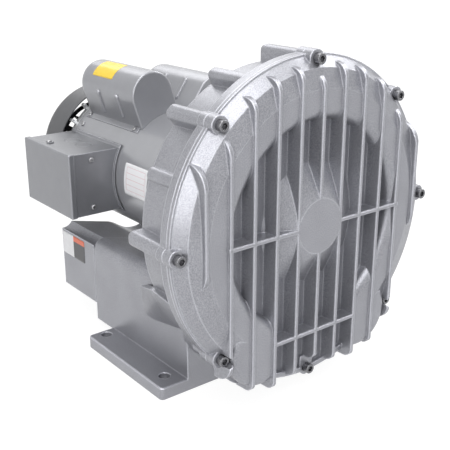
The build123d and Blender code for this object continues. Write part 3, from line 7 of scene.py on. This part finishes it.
# %% Load the frame
import bpy
import json
from math import cos, pi, radians, sin
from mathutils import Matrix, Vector


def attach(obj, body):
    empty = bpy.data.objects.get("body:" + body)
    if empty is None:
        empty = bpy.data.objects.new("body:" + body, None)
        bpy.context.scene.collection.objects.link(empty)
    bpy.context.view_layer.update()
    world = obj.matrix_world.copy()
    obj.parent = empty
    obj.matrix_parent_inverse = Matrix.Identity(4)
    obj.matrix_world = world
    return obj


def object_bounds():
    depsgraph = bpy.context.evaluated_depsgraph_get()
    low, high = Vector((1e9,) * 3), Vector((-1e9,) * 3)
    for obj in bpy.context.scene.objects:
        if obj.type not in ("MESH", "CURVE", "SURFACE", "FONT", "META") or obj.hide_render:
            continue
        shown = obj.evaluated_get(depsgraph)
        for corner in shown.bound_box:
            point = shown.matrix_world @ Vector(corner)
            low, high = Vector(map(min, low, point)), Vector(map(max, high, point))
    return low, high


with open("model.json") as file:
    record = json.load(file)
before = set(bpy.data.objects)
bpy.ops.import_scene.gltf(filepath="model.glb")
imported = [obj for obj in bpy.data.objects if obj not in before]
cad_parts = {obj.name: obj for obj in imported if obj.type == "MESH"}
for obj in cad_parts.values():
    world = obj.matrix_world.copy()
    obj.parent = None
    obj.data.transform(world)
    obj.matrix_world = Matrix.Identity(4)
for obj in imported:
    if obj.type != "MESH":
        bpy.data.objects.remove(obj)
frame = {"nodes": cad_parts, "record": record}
cad_box = [list(corner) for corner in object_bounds()]
nodes = frame["nodes"]
print(len(nodes), "CAD nodes, box", cad_box)

# %% [markdown]
# ## Adding and wiring nodes
# A material in Blender is a small net of nodes. Each node could be added, set and wired by hand,
# but the same few steps come back in every finish, so they become helpers. `feed` takes either a
# wire or a plain value, which lets the helpers after it accept both.

# %% Helpers for the node net
COLOUR_A, COLOUR_B, COLOUR_OUT = 6, 7, 2    # the Mix node has its own sockets for each data type


def new_material(name):
    """A material and its net, which starts with one shader and one output."""
    material = bpy.data.materials.new(name)
    material.use_nodes = True
    return material, material.node_tree


def add(tree, kind, **settings):
    """A new node, with its settings."""
    node = tree.nodes.new(kind)
    for name, value in settings.items():
        setattr(node, name, value)
    return node


def feed(tree, socket, value):
    """Wire a socket to another node's output, or give it a plain value."""
    if isinstance(value, bpy.types.NodeSocket):
        tree.links.new(value, socket)
    else:
        socket.default_value = value


def maths(tree, operation, *values):
    """The result of one sum on wires or plain values."""
    node = add(tree, "ShaderNodeMath", operation=operation)
    for socket, value in zip(node.inputs, values):
        feed(tree, socket, value)
    return node.outputs["Value"]


def mix_colours(tree, share, first, second, how="MIX"):
    """Lay the second colour over the first one, as strongly as share says."""
    node = add(tree, "ShaderNodeMix", data_type="RGBA", blend_type=how)
    feed(tree, node.inputs["Factor"], share)
    feed(tree, node.inputs[COLOUR_A], first)
    feed(tree, node.inputs[COLOUR_B], second)
    return node.outputs[COLOUR_OUT]


print("helpers that add, feed, calculate and mix are ready")

# %% [markdown]
# ## Noise and ramps
# No paint is one flat colour. Noise gives a soft value between 0 and 1 that varies over the piece,
# and a ramp turns that value into two close shades. Fed into a Bump node instead, the same noise
# becomes a fine relief. All of it works on the piece's own coordinates, so the pattern keeps its
# real scale and stays put when a joint moves.

# %% Noise, and a ramp and a relief made from it
NOISE_ROUGH = 0.55      # how much of the finest noise shows


def noise(tree, coords, scale, detail=3.0):
    """A soft value between 0 and 1 that varies over the piece."""
    node = add(tree, "ShaderNodeTexNoise")
    node.inputs["Scale"].default_value = scale
    node.inputs["Detail"].default_value = detail
    node.inputs["Roughness"].default_value = NOISE_ROUGH
    tree.links.new(coords, node.inputs["Vector"])
    return node.outputs["Fac"]


def ramp(tree, value, stops):
    """Map a 0 to 1 value through (position, grey or colour) stops."""
    node = add(tree, "ShaderNodeValToRGB")
    elements = node.color_ramp.elements
    while len(elements) < len(stops):
        elements.new(0.5)
    for element, (place, shade) in zip(elements, stops):
        colour = shade if isinstance(shade, tuple) else (shade, shade, shade)
        element.position = place
        element.color = (*colour, 1.0)
    tree.links.new(value, node.inputs["Fac"])
    return node.outputs["Color"]


def relief(tree, height, strength, depth, normal=None):
    """A normal bent by the height, on top of a rounded normal where there is one."""
    bump = add(tree, "ShaderNodeBump")
    bump.inputs["Strength"].default_value = strength
    bump.inputs["Distance"].default_value = depth
    tree.links.new(height, bump.inputs["Height"])
    if normal:
        tree.links.new(normal, bump.inputs["Normal"])
    return bump.outputs["Normal"]


print("noise of roughness", NOISE_ROUGH, "with ramps and relief is ready")

# %% [markdown]
# ## Painted edge highlights
# The colour of outer edges is painted lighter than the faces, a painted highlight where edges catch
# the lamps.
# The light rims could be modelled as thin strips, but the Bevel node finds every edge by itself: it
# rounds the normal there, and where the rounded normal leaves the flat one, the lighter colour
# comes through. Inner corners get no painted highlight, so ambient occlusion keeps it to edges in
# open air.

# %% A mask for the painted highlight on outer edges
FULLY_TURNED = 0.90     # cosine between the two normals where the painted highlight is full
NOT_TURNED = 0.995      # and where the face without it begins
AIR_REACH = 0.006       # how far around the edge the air has to be free, in metres
SHUT_IN, IN_THE_OPEN = 0.72, 0.92       # share of free air at an inner and at an outer corner
EDGE_SAMPLES = 4
HIGHLIGHT_GAIN = 2.3       # how much lighter the painted edge highlight is than the paint


def edge_highlight_colour(colour):
    """The same paint, lightened for a painted edge highlight."""
    return tuple(min(1.0, c * HIGHLIGHT_GAIN) for c in colour)


def paint_edge_highlight(tree, shade, bevel, highlighted, strength):
    """Blend towards a lighter colour along outer edges, as a painted highlight."""
    turn = add(tree, "ShaderNodeVectorMath", operation="DOT_PRODUCT")
    tree.links.new(bevel.outputs["Normal"], turn.inputs[0])
    tree.links.new(add(tree, "ShaderNodeNewGeometry").outputs["Normal"], turn.inputs[1])
    open_air = add(tree, "ShaderNodeAmbientOcclusion", samples=EDGE_SAMPLES)
    open_air.inputs["Distance"].default_value = AIR_REACH
    edge = ramp(tree, turn.outputs["Value"], [(FULLY_TURNED, strength), (NOT_TURNED, 0.0)])
    free = ramp(tree, open_air.outputs["AO"], [(SHUT_IN, 0.0), (IN_THE_OPEN, 1.0)])
    return mix_colours(tree, maths(tree, "MULTIPLY", edge, free), shade, (*highlighted, 1.0))


# the painted edge highlight, as a multiple of the paint's colour
print("edges are rubbed to", HIGHLIGHT_GAIN, "times the paint's shade")

# %% [markdown]
# ## One maker for all finishes
# Paint, plating and plastic differ in a few ways only: their colour, how much that colour wanders,
# how rough they are, and the grain that their surface carries. Each could have its own net, but one
# function that takes those as arguments keeps every finish comparable. Values that are the same
# all over go straight on the shader's sockets, and only what varies over the surface is wired in.

# %% The finish maker
COAT_ROUGH = 0.25
ROUGH_WANDER = 0.03         # how far roughness strays from its mean
ROUGH_PATCHES = 1.7         # its patches are this much finer than those of the colour
GRAIN_DEPTH = 0.0004
NOISE_LOW, NOISE_HIGH = 0.3, 0.7        # where most of the noise's values lie
SPECKLE_LOW, SPECKLE_HIGH = 0.35, 0.65


def own_coords(tree, stretch=None):
    """The piece's own coordinates, stretched the way that its grain runs."""
    coords = add(tree, "ShaderNodeTexCoord").outputs["Object"]
    if stretch is None:
        return coords
    mapping = add(tree, "ShaderNodeMapping")
    mapping.inputs["Scale"].default_value = stretch
    tree.links.new(coords, mapping.inputs["Vector"])
    return mapping.outputs["Vector"]


def finish(name, colour, metallic=0.0, roughness=0.5, coat=0.0, wander=0.05, wander_scale=60.0,
           grain=0.0, grain_scale=1400.0, speckle=0.0, edge=0.0, edge_highlight=0.0, stretch=None):
    """A finish: base colour that wanders, grain in the relief, rounded edges with a painted
    highlight.
    """
    material, tree = new_material(name)
    shader = tree.nodes["Principled BSDF"]
    shader.inputs["Metallic"].default_value = metallic
    shader.inputs["Coat Weight"].default_value = coat
    shader.inputs["Coat Roughness"].default_value = COAT_ROUGH
    coords = own_coords(tree, stretch)
    low = tuple(c * (1 - wander) for c in colour)
    high = tuple(min(1.0, c * (1 + wander)) for c in colour)
    shade = ramp(tree, noise(tree, coords, wander_scale), [(NOISE_LOW, low), (NOISE_HIGH, high)])
    if speckle:
        flakes = [(SPECKLE_LOW, 1 - speckle), (SPECKLE_HIGH, 1 + speckle)]
        fine = ramp(tree, noise(tree, coords, grain_scale, detail=2.0), flakes)
        shade = mix_colours(tree, 1.0, shade, fine, how="MULTIPLY")
    normal = None
    if edge:
        bevel = add(tree, "ShaderNodeBevel", samples=EDGE_SAMPLES)
        bevel.inputs["Radius"].default_value = edge
        normal = bevel.outputs["Normal"]
    # a painted highlight: outer edges are lightened towards a brighter copy of the paint
    if edge_highlight:
        shade = paint_edge_highlight(tree, shade, bevel, edge_highlight_colour(colour), edge_highlight)
    tree.links.new(shade, shader.inputs["Base Color"])
    spread = [(NOISE_LOW, roughness - ROUGH_WANDER), (NOISE_HIGH, roughness + ROUGH_WANDER)]
    rough = ramp(tree, noise(tree, coords, wander_scale * ROUGH_PATCHES), spread)
    tree.links.new(rough, shader.inputs["Roughness"])
    if grain:
        normal = relief(tree, noise(tree, coords, grain_scale), grain, GRAIN_DEPTH, normal)
    if normal:
        tree.links.new(normal, shader.inputs["Normal"])
    return material


print("the finish maker is ready")

# %% [markdown]
# ## The castings
# Cover, housing, box and base are cast aluminium, shot-blasted and sprayed silver-grey. Blasting
# leaves a fine grain that the paint doesn't fill, and the paint carries metal flake. Modelled
# grain would need millions of faces, so the grain is relief, and the flake is a fine speckle.

# %% Paint on cast aluminium
# the castings' outer edges carry a painted highlight
cast_paint = finish("cast_paint", (0.315, 0.318, 0.345), metallic=0.65, roughness=0.34, wander=0.06,
                    wander_scale=25.0, grain=0.50, grain_scale=1000.0, speckle=0.24, edge=0.0022,
                    edge_highlight=1.0)
print(cast_paint.name, "has", len(cast_paint.node_tree.nodes), "nodes")

# %% [markdown]
# ## The sheet steel
# The motor's shell, its capacitor covers and the conduit box are smooth sheet steel in one paint.
# The shell wears a lighter copy of it, painted light, and the conduit box a darker copy, painted
# shade. They share every setting but the colour and the width of the painted edge highlight. The
# fan cover at the back is a much darker pressing.

# %% Paints on sheet steel
SPRAYED = {"metallic": 0.55, "roughness": 0.32, "coat": 0.15, "wander": 0.03, "wander_scale": 40.0,
           "grain": 0.05, "grain_scale": 500.0}
# the outer edges of all three sheet steel paints carry a painted highlight
motor_paint = finish("motor_paint", (0.30, 0.304, 0.325), edge=0.0014, edge_highlight=0.8, **SPRAYED)
# a lighter copy of the motor paint: painted light on the shell
lit_motor_paint = finish("lit_motor_paint", (0.37, 0.374, 0.395), edge=0.0014, edge_highlight=0.8, **SPRAYED)
# a darker copy of the motor paint: painted shade on the conduit box and its cover
shaded_motor_paint = finish("shaded_motor_paint", (0.23, 0.234, 0.252), edge=0.0020, edge_highlight=1.0, **SPRAYED)
fan_cover_paint = finish("fan_cover_paint", (0.09, 0.092, 0.098), metallic=0.3, roughness=0.40,
                         coat=0.1, wander=0.05, grain=0.08, grain_scale=600.0, edge=0.0006)
print("four sheet steel paints, from", fan_cover_paint.name, "up to", lit_motor_paint.name)

# %% [markdown]
# ## Screws, shaft and bare metal
# The small screws are plated with zinc that has gone dull, and the eight cover screws are darker,
# oiled steel. The shaft is drawn bar, so its grain is stretched along its length. The cores of the
# motor are thin sheets stacked along the shaft, so their grain is stretched across it, and the
# windings are rough copper. Bare metal mirrors the pale room, and a dark base colour keeps its
# contrast there.

# %% Bare and plated metals
zinc = finish("zinc", (0.36, 0.36, 0.37), metallic=0.9, roughness=0.32, wander=0.10,
              wander_scale=400.0, grain=0.05, grain_scale=2500.0, edge=0.0003)
# the cover screws' outer edges carry a painted highlight
oiled_steel = finish("oiled_steel", (0.17, 0.17, 0.18), metallic=0.9, roughness=0.26, wander=0.12,
                     wander_scale=300.0, grain=0.05, grain_scale=2500.0, edge=0.0006,
                     edge_highlight=0.9)
bright_steel = finish("bright_steel", (0.56, 0.56, 0.57), metallic=1.0, roughness=0.28, wander=0.05,
                      grain=0.08, grain_scale=900.0, stretch=(1.0, 0.08, 1.0), edge=0.0003)
raw_aluminium = finish("raw_aluminium", (0.62, 0.63, 0.64), metallic=0.9, roughness=0.38,
                       wander=0.05, grain=0.2, grain_scale=1200.0, edge=0.0008)
laminated = finish("laminated", (0.16, 0.16, 0.18), metallic=0.7, roughness=0.5, wander=0.06,
                   grain=0.4, grain_scale=900.0, stretch=(0.05, 1.0, 0.05))
copper = finish("copper", (0.42, 0.17, 0.07), metallic=0.8, roughness=0.35, wander=0.2,
                wander_scale=300.0, grain=0.5, grain_scale=700.0)
print("six metals, from", oiled_steel.name, "to", raw_aluminium.name)

# %% [markdown]
# ## Plastic, rubber, gasket and foam
# These sit inside or between the metal pieces: the cooling fan, the start switch and its collar,
# the terminal block, the bearing cages, the shaft seal, two gaskets and the silencer's lining. None
# of them is metallic, and what tells them apart is how rough they are, so roughness and grain do
# most of the work.

# %% Plastics and soft sheets
black_plastic = finish("black_plastic", (0.018, 0.018, 0.02), roughness=0.45, wander=0.1, grain=0.1,
                       grain_scale=1500.0, edge=0.0004)
nylon = finish("nylon", (0.72, 0.66, 0.50), roughness=0.5, wander=0.04, grain=0.1)
rubber = finish("rubber", (0.022, 0.022, 0.022), roughness=0.7, wander=0.15, grain=0.3)
gasket_sheet = finish("gasket_sheet", (0.06, 0.062, 0.065), roughness=0.8, wander=0.2, grain=0.5)
foam = finish("foam", (0.03, 0.03, 0.032), roughness=0.95, wander=0.4, wander_scale=900.0,
              grain=1.0, grain_scale=700.0)
print("five finishes that aren't metal")

# %% [markdown]
# ## Which piece wears which finish
# The CAD record names a material slot for each node, so the finishes could be handed out by slot
# alone. Four nodes share a slot with others but get another finish: the motor's shell a lighter
# copy of the motor paint, painted light, the conduit box and its cover a darker copy, painted
# shade, and the cover screws darker steel. Those are looked up by name first.

# %% Hand out the finishes
FINISHES = {
    "casting": cast_paint, "bare_aluminium": raw_aluminium, "motor_paint": motor_paint,
    "fan_cover_paint": fan_cover_paint, "zinc": zinc, "steel": bright_steel,
    "laminations": laminated, "windings": copper, "bearing_steel": bright_steel, "cage": nylon,
    "dark_plastic": black_plastic, "can": raw_aluminium, "rubber": rubber,
    "gasket": gasket_sheet, "foam": foam,
}
# shell and conduit box wear lit and shaded copies of the motor paint: painted light and painted
# shade
FINISHES_BY_NAME = {
    "conduit_box": shaded_motor_paint, "conduit_cover": shaded_motor_paint, "motor_shell": lit_motor_paint,
    "cover_screws": oiled_steel,
}
slot_of = {part["node"]: part["material_slot"] for part in frame["record"]["subparts"]}
for name, node in nodes.items():
    node.data.materials.clear()
    node.data.materials.append(FINISHES_BY_NAME.get(name, FINISHES[slot_of[name]]))
print(len(FINISHES), "slots and", len(FINISHES_BY_NAME), "single nodes, for", len(nodes), "nodes")

# %% [markdown]
# ## Stickers
# A blower leaves the works with a few stickers on it: a yellow one over the capacitor, a white one
# on the motor's shell, and a banded one on the silencer box. A sticker could be painted into the
# material under it, but a sheet of its own has a real edge that catches light. So each one is vinyl
# 0.2 mm thick that follows the curve that it is stuck on. They are left blank: the sheet, its
# colours and its ruled boxes are there, with nothing printed in them.

# %% Where a sheet goes: around a cylinder, or flat on a side
AXIS_H = 0.205          # height of the shaft above the floor
SEAM_Y = -0.155         # the joint between cover and housing, along Y
ADHESIVE_T = 0.00005    # the adhesive under a sheet


def around(axis, radius, start_y, start_deg):
    """Places (u, v) on a cylinder along Y: u runs towards the front, v down its left side."""
    def place(u, v):
        angle = radians(start_deg) + v / radius
        return axis + Vector((radius * cos(angle), start_y - u, radius * sin(angle)))
    return place


def upright(x, start_y, top_z):
    """Places (u, v) on a flat side that faces -X: u runs towards the front, v down."""
    return lambda u, v: Vector((x, start_y - u, top_z - v))


print("sheets lie", ADHESIVE_T * 1000, "mm off the paint")

# %% A sheet with rounded corners
STICKER_T = 0.0002
CORNER_R = 0.0018
COLUMNS, ROWS = 28, 14      # faces along and across, enough for the curves to stay smooth


def sheet_grid(width, height, place):
    """Points of the sheet, their places in the sheet from 0 to 1, and its faces."""
    points, spots = [], []
    for i in range(COLUMNS + 1):
        u = width * (1 - cos(pi * i / COLUMNS)) / 2     # closer together towards the corners
        into_corner = max(0.0, CORNER_R - min(u, width - u))
        inset = CORNER_R - (CORNER_R ** 2 - into_corner ** 2) ** 0.5
        for j in range(ROWS + 1):
            v = inset + (height - 2 * inset) * j / ROWS
            points.append(place(u, v))
            spots.append((u / width, 1 - v / height))
    corners = [i * (ROWS + 1) + j for i in range(COLUMNS) for j in range(ROWS)]
    faces = [(a, a + 1, a + ROWS + 2, a + ROWS + 1) for a in corners]
    return points, spots, faces


def sticker(name, width, height, place, material):
    """A vinyl sheet, bent over the surface that place gives."""
    points, spots, faces = sheet_grid(width, height, place)
    mesh = bpy.data.meshes.new(name)
    mesh.from_pydata(points, [], faces)
    layer = mesh.uv_layers.new(name="sheet")
    for loop in mesh.loops:
        layer.data[loop.index].uv = spots[loop.vertex_index]
    for polygon in mesh.polygons:
        polygon.use_smooth = True
    mesh.materials.append(material)
    piece = bpy.data.objects.new(name, mesh)
    bpy.context.scene.collection.objects.link(piece)
    thick = piece.modifiers.new("thickness", "SOLIDIFY")
    thick.thickness = STICKER_T
    thick.offset = 1.0
    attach(piece, "blower")
    print(name, round(width * 1000, 1), "by", round(height * 1000, 1), "mm")


print("sheets are", STICKER_T * 1000, "mm thick, with corners of", CORNER_R * 1000, "mm")

# %% [markdown]
# ## Vinyl
# Printed vinyl is one smooth sheet whose colour changes along straight lines. Each colour could be
# a face of its own, but then the sheet's grid would have to follow the print. Here the sheet's own
# coordinates are compared with each field's limits, and the field's colour is laid over what is
# below it. A little unevenness in the adhesive shows as soft relief.

# %% The vinyl maker
VINYL_ROUGH = 0.38
VINYL_COAT = 0.3
DUST_SHADE = 0.93           # how dark the dusty patches are
DUST_SCALE = 180.0
DUST_LOW, DUST_HIGH = 0.35, 0.65
UNEVEN_SCALE = 500.0
UNEVEN_STRENGTH = 0.08
UNEVEN_DEPTH = 0.0002


def inside_field(tree, spot, u0, u1, v0, v1):
    """1 inside the field and 0 outside it."""
    along = maths(tree, "COMPARE", spot.outputs["X"], (u0 + u1) / 2, (u1 - u0) / 2)
    across = maths(tree, "COMPARE", spot.outputs["Y"], (v0 + v1) / 2, (v1 - v0) / 2)
    return maths(tree, "MULTIPLY", along, across)


def vinyl(name, ground, fields=()):
    """Vinyl in a ground colour; fields are (u0, u1, v0, v1, colour), laid over it in turn."""
    material, tree = new_material(name)
    shader = tree.nodes["Principled BSDF"]
    shader.inputs["Roughness"].default_value = VINYL_ROUGH
    shader.inputs["Coat Weight"].default_value = VINYL_COAT
    spot = add(tree, "ShaderNodeSeparateXYZ")
    tree.links.new(add(tree, "ShaderNodeUVMap", uv_map="sheet").outputs["UV"], spot.inputs[0])
    coords = own_coords(tree)
    dusty = tuple(c * DUST_SHADE for c in ground)
    shade = ramp(tree, noise(tree, coords, DUST_SCALE), [(DUST_LOW, dusty), (DUST_HIGH, ground)])
    for *limits, colour in fields:
        shade = mix_colours(tree, inside_field(tree, spot, *limits), shade, (*colour, 1.0))
    tree.links.new(shade, shader.inputs["Base Color"])
    waves = noise(tree, coords, UNEVEN_SCALE, detail=2.0)
    tree.links.new(relief(tree, waves, UNEVEN_STRENGTH, UNEVEN_DEPTH), shader.inputs["Normal"])
    return material


print("the vinyl maker is ready, with roughness", VINYL_ROUGH)

# %% [markdown]
# ## The yellow sticker
# It lies over the crown of the near capacitor cover. A flat sheet would stand off the curve at its
# edges, so this one starts at the top of the crown and runs down its left side, on the crown's own
# radius.

# %% The yellow sticker on the capacitor cover
CAPACITOR_AXIS = Vector((-0.0346, 0.0, 0.3115))     # middle of the near cover's crown
CROWN_R = 0.030
YELLOW = (0.86, 0.60, 0.03)
over_crown = around(CAPACITOR_AXIS, CROWN_R + ADHESIVE_T, start_y=SEAM_Y + 0.346, start_deg=92)
sticker("capacitor_sticker", width=0.049, height=0.031, place=over_crown,
        material=vinyl("yellow_vinyl", YELLOW))

# %% [markdown]
# ## The white sticker
# It is stuck on the motor's shell, beside the conduit box, and holds four empty boxes with thin
# ruled edges, as a form has. A ruled edge is made as sign painters do it: a field of ink first,
# and a slightly smaller field of paper over it.

# %% The white sticker on the shell, with its ruled boxes
SHELL_R = 0.083
WHITE = (0.78, 0.78, 0.80)
PALE_INK = (0.66, 0.46, 0.48)
RULE_U, RULE_V = 0.010, 0.012       # the ruled line, as shares of the sheet
FORM_LEFT, FORM_RIGHT = 0.10, 0.90
FORM_FOOT, FORM_HEAD = 0.16, 0.35   # the lowest box
FORM_PITCH = 0.18
FORM_BOXES = 4


def ruled_box(u0, u1, v0, v1, ink, paper):
    """An empty box with a thin ruled edge."""
    return [(u0, u1, v0, v1, ink), (u0 + RULE_U, u1 - RULE_U, v0 + RULE_V, v1 - RULE_V, paper)]


form_fields = []
for box in range(FORM_BOXES):
    foot = FORM_FOOT + FORM_PITCH * box
    head = FORM_HEAD + FORM_PITCH * box
    form_fields += ruled_box(FORM_LEFT, FORM_RIGHT, foot, head, PALE_INK, WHITE)
on_shell = around(Vector((0.0, 0.0, AXIS_H)), SHELL_R + ADHESIVE_T, start_y=SEAM_Y + 0.240,
                  start_deg=161)
sticker("shell_sticker", width=0.052, height=0.041, place=on_shell,
        material=vinyl("white_vinyl", WHITE, form_fields))

# %% [markdown]
# ## The banded sticker
# The silencer box carries a flat sticker on its left side. Its rear half is bare white, and its
# front half is charcoal under an orange band. The side is plane, so the sheet needs no bending.

# %% The banded sticker on the silencer box
SILENCER_SIDE_X = -0.113
ORANGE = (0.72, 0.13, 0.05)
CHARCOAL = (0.035, 0.035, 0.04)
BAND_START = 0.5        # along the sheet
BAND_FOOT = 0.76        # the foot of the orange band
bands = [(BAND_START, 1.0, 0.0, BAND_FOOT, CHARCOAL), (BAND_START, 1.0, BAND_FOOT, 1.0, ORANGE)]
on_side = upright(SILENCER_SIDE_X - ADHESIVE_T, start_y=SEAM_Y + 0.3595, top_z=0.115)
sticker("silencer_sticker", width=0.0595, height=0.0315, place=on_side,
        material=vinyl("banded_vinyl", WHITE, bands))

# %% [markdown]
# ## The floor
# A blower stands out well on a white sweep. A plain white floor would need so much light that the
# metal on it burned out, so this one splits its job. For rays from the camera and from mirror-like
# reflections it mostly glows white, and for the light that falls on things it is pale paint. The
# glow is weaker near the blower, so the soft shadow stays, and full further out, so the floor fades
# into the white behind it.

# %% Which rays only look
def seen_rays(tree):
    """1 for rays that look at a surface or its mirror image, 0 for light that falls on things."""
    rays = add(tree, "ShaderNodeLightPath").outputs
    looks = maths(tree, "MAXIMUM", rays["Is Camera Ray"], rays["Is Glossy Ray"])
    return maths(tree, "MAXIMUM", looks, rays["Is Transmission Ray"])


print("a helper that tells looking rays apart is ready")

# %% The floor and its paint
FLOOR_PAINT = (0.85, 0.85, 0.85, 1.0)
FLOOR_GLOW = 1.15
# the glow's share grows from 0.80 at 0.6 m from the origin to 1 at 1.8 m
FADE = {"From Min": 0.6, "From Max": 1.8, "To Min": 0.80, "To Max": 1.0}
FLOOR_REACH = 6.0
FLOOR_GAP = 0.0002      # between the floor and the base, so that their faces don't mix


def pale_floor():
    """Pale paint that glows white where it is looked at."""
    material, tree = new_material("pale_floor")
    tree.nodes.clear()
    out = add(tree, "ShaderNodeOutputMaterial")
    diffuse = add(tree, "ShaderNodeBsdfDiffuse")
    diffuse.inputs["Color"].default_value = FLOOR_PAINT
    glow = add(tree, "ShaderNodeEmission")
    glow.inputs["Strength"].default_value = FLOOR_GLOW
    away = add(tree, "ShaderNodeVectorMath", operation="LENGTH")
    tree.links.new(add(tree, "ShaderNodeTexCoord").outputs["Object"], away.inputs[0])
    fade = add(tree, "ShaderNodeMapRange", interpolation_type="SMOOTHSTEP")
    for socket, value in FADE.items():
        fade.inputs[socket].default_value = value
    tree.links.new(away.outputs["Value"], fade.inputs["Value"])
    mix = add(tree, "ShaderNodeMixShader")
    share = maths(tree, "MULTIPLY", seen_rays(tree), fade.outputs["Result"])
    tree.links.new(share, mix.inputs[0])
    tree.links.new(diffuse.outputs[0], mix.inputs[1])
    tree.links.new(glow.outputs[0], mix.inputs[2])
    tree.links.new(mix.outputs[0], out.inputs["Surface"])
    return material


mesh = bpy.data.meshes.new("floor")
corners = [(FLOOR_REACH * x, FLOOR_REACH * y, 0) for x, y in ((-1, -1), (1, -1), (1, 1), (-1, 1))]
mesh.from_pydata(corners, [], [(0, 1, 2, 3)])
floor = bpy.data.objects.new("floor", mesh)
floor.data.materials.append(pale_floor())
floor.location.z = cad_box[0][2] - FLOOR_GAP
bpy.context.scene.collection.objects.link(floor)
print("floor", 2 * FLOOR_REACH, "m wide, at height", round(floor.location.z, 4))

# %% [markdown]
# ## The room's own light
# The world is the room around the blower. It is white where it is looked at or mirrored, and gives
# only a weak light to the surfaces themselves. That leaves the shading to the lamps, so that the
# faces of the castings stay apart.

# %% The world
ROOM_LIGHT = 0.22       # what falls on things
ROOM_SEEN = 1.0         # what is looked at: plain white
world = bpy.data.worlds.new("studio")
bpy.context.scene.world = world
world.use_nodes = True
room = world.node_tree
strength = add(room, "ShaderNodeMix", data_type="FLOAT")
strength.inputs["A"].default_value = ROOM_LIGHT
strength.inputs["B"].default_value = ROOM_SEEN
room.links.new(seen_rays(room), strength.inputs["Factor"])
background = room.nodes["Background"]
background.inputs["Color"].default_value = (1.0, 1.0, 1.0, 1.0)
room.links.new(strength.outputs["Result"], background.inputs["Strength"])
print("the room gives", ROOM_LIGHT, "and looks", ROOM_SEEN)

# %% [markdown]
# ## The lamps
# Satin metal mirrors its lamps. A small strong lamp would leave white patches with hard edges on
# the cover's round shoulders, so all five lamps are large and weak, and stand well back. The key
# comes from the front left above, one fills the left side low down, one lights the right, one the
# back, and one hangs overhead.

# %% Five soft lamps
LAMP_AIM = Vector((0.0, 0.0, 0.2))
LAMPS = {
    # azimuth and elevation in degrees, distance and width in metres, power in watts
    "key": (-34, 48, 2.6, 1.8, 28),
    "left_fill": (-60, 16, 2.4, 1.3, 20),
    "right": (80, 42, 2.4, 1.2, 24),
    "back": (158, 45, 2.4, 1.4, 14),
    "top": (-40, 82, 2.2, 1.5, 24),
}


def lamp(name, azimuth, elevation, distance, width, watts):
    """A square soft lamp that faces the blower."""
    data = bpy.data.lights.new(name, "AREA")
    data.shape = "SQUARE"
    data.size = width
    data.energy = watts
    light = bpy.data.objects.new(name, data)
    a, e = radians(azimuth), radians(elevation)
    light.location = LAMP_AIM + distance * Vector((sin(a) * cos(e), -cos(a) * cos(e), sin(e)))
    light.rotation_euler = (LAMP_AIM - light.location).to_track_quat("-Z", "Y").to_euler()
    bpy.context.scene.collection.objects.link(light)


for name, settings in LAMPS.items():
    lamp(name, *settings)
print(len(LAMPS), "lamps,", sum(settings[-1] for settings in LAMPS.values()), "W in all")

# %% [markdown]
# ## The camera
# The camera stands to the front left and looks a little down, so the cover, the conduit box and the
# motor all show. Close up with a wide lens, the near side of the cover would bulge, so it is about
# a metre away with a long lens. The view transform is the plain one, so that a colour renders about
# as it is written.

# %% The camera
SENSOR_W = 36.0
LENS = 65.42
STAND = (-0.5935, -0.7729, 0.5026)
LOOK = Vector((0.5810, 0.7413, -0.3361))
camera_data = bpy.data.cameras.new("camera")
camera_data.sensor_width = SENSOR_W
camera_data.lens = LENS
camera = bpy.data.objects.new("camera", camera_data)
camera.location = STAND
camera.rotation_euler = LOOK.to_track_quat("-Z", "Y").to_euler()
bpy.context.scene.collection.objects.link(camera)
bpy.context.scene.camera = camera
bpy.context.scene.view_settings.view_transform = "Standard"
print("camera at", STAND, "with a", LENS, "mm lens")
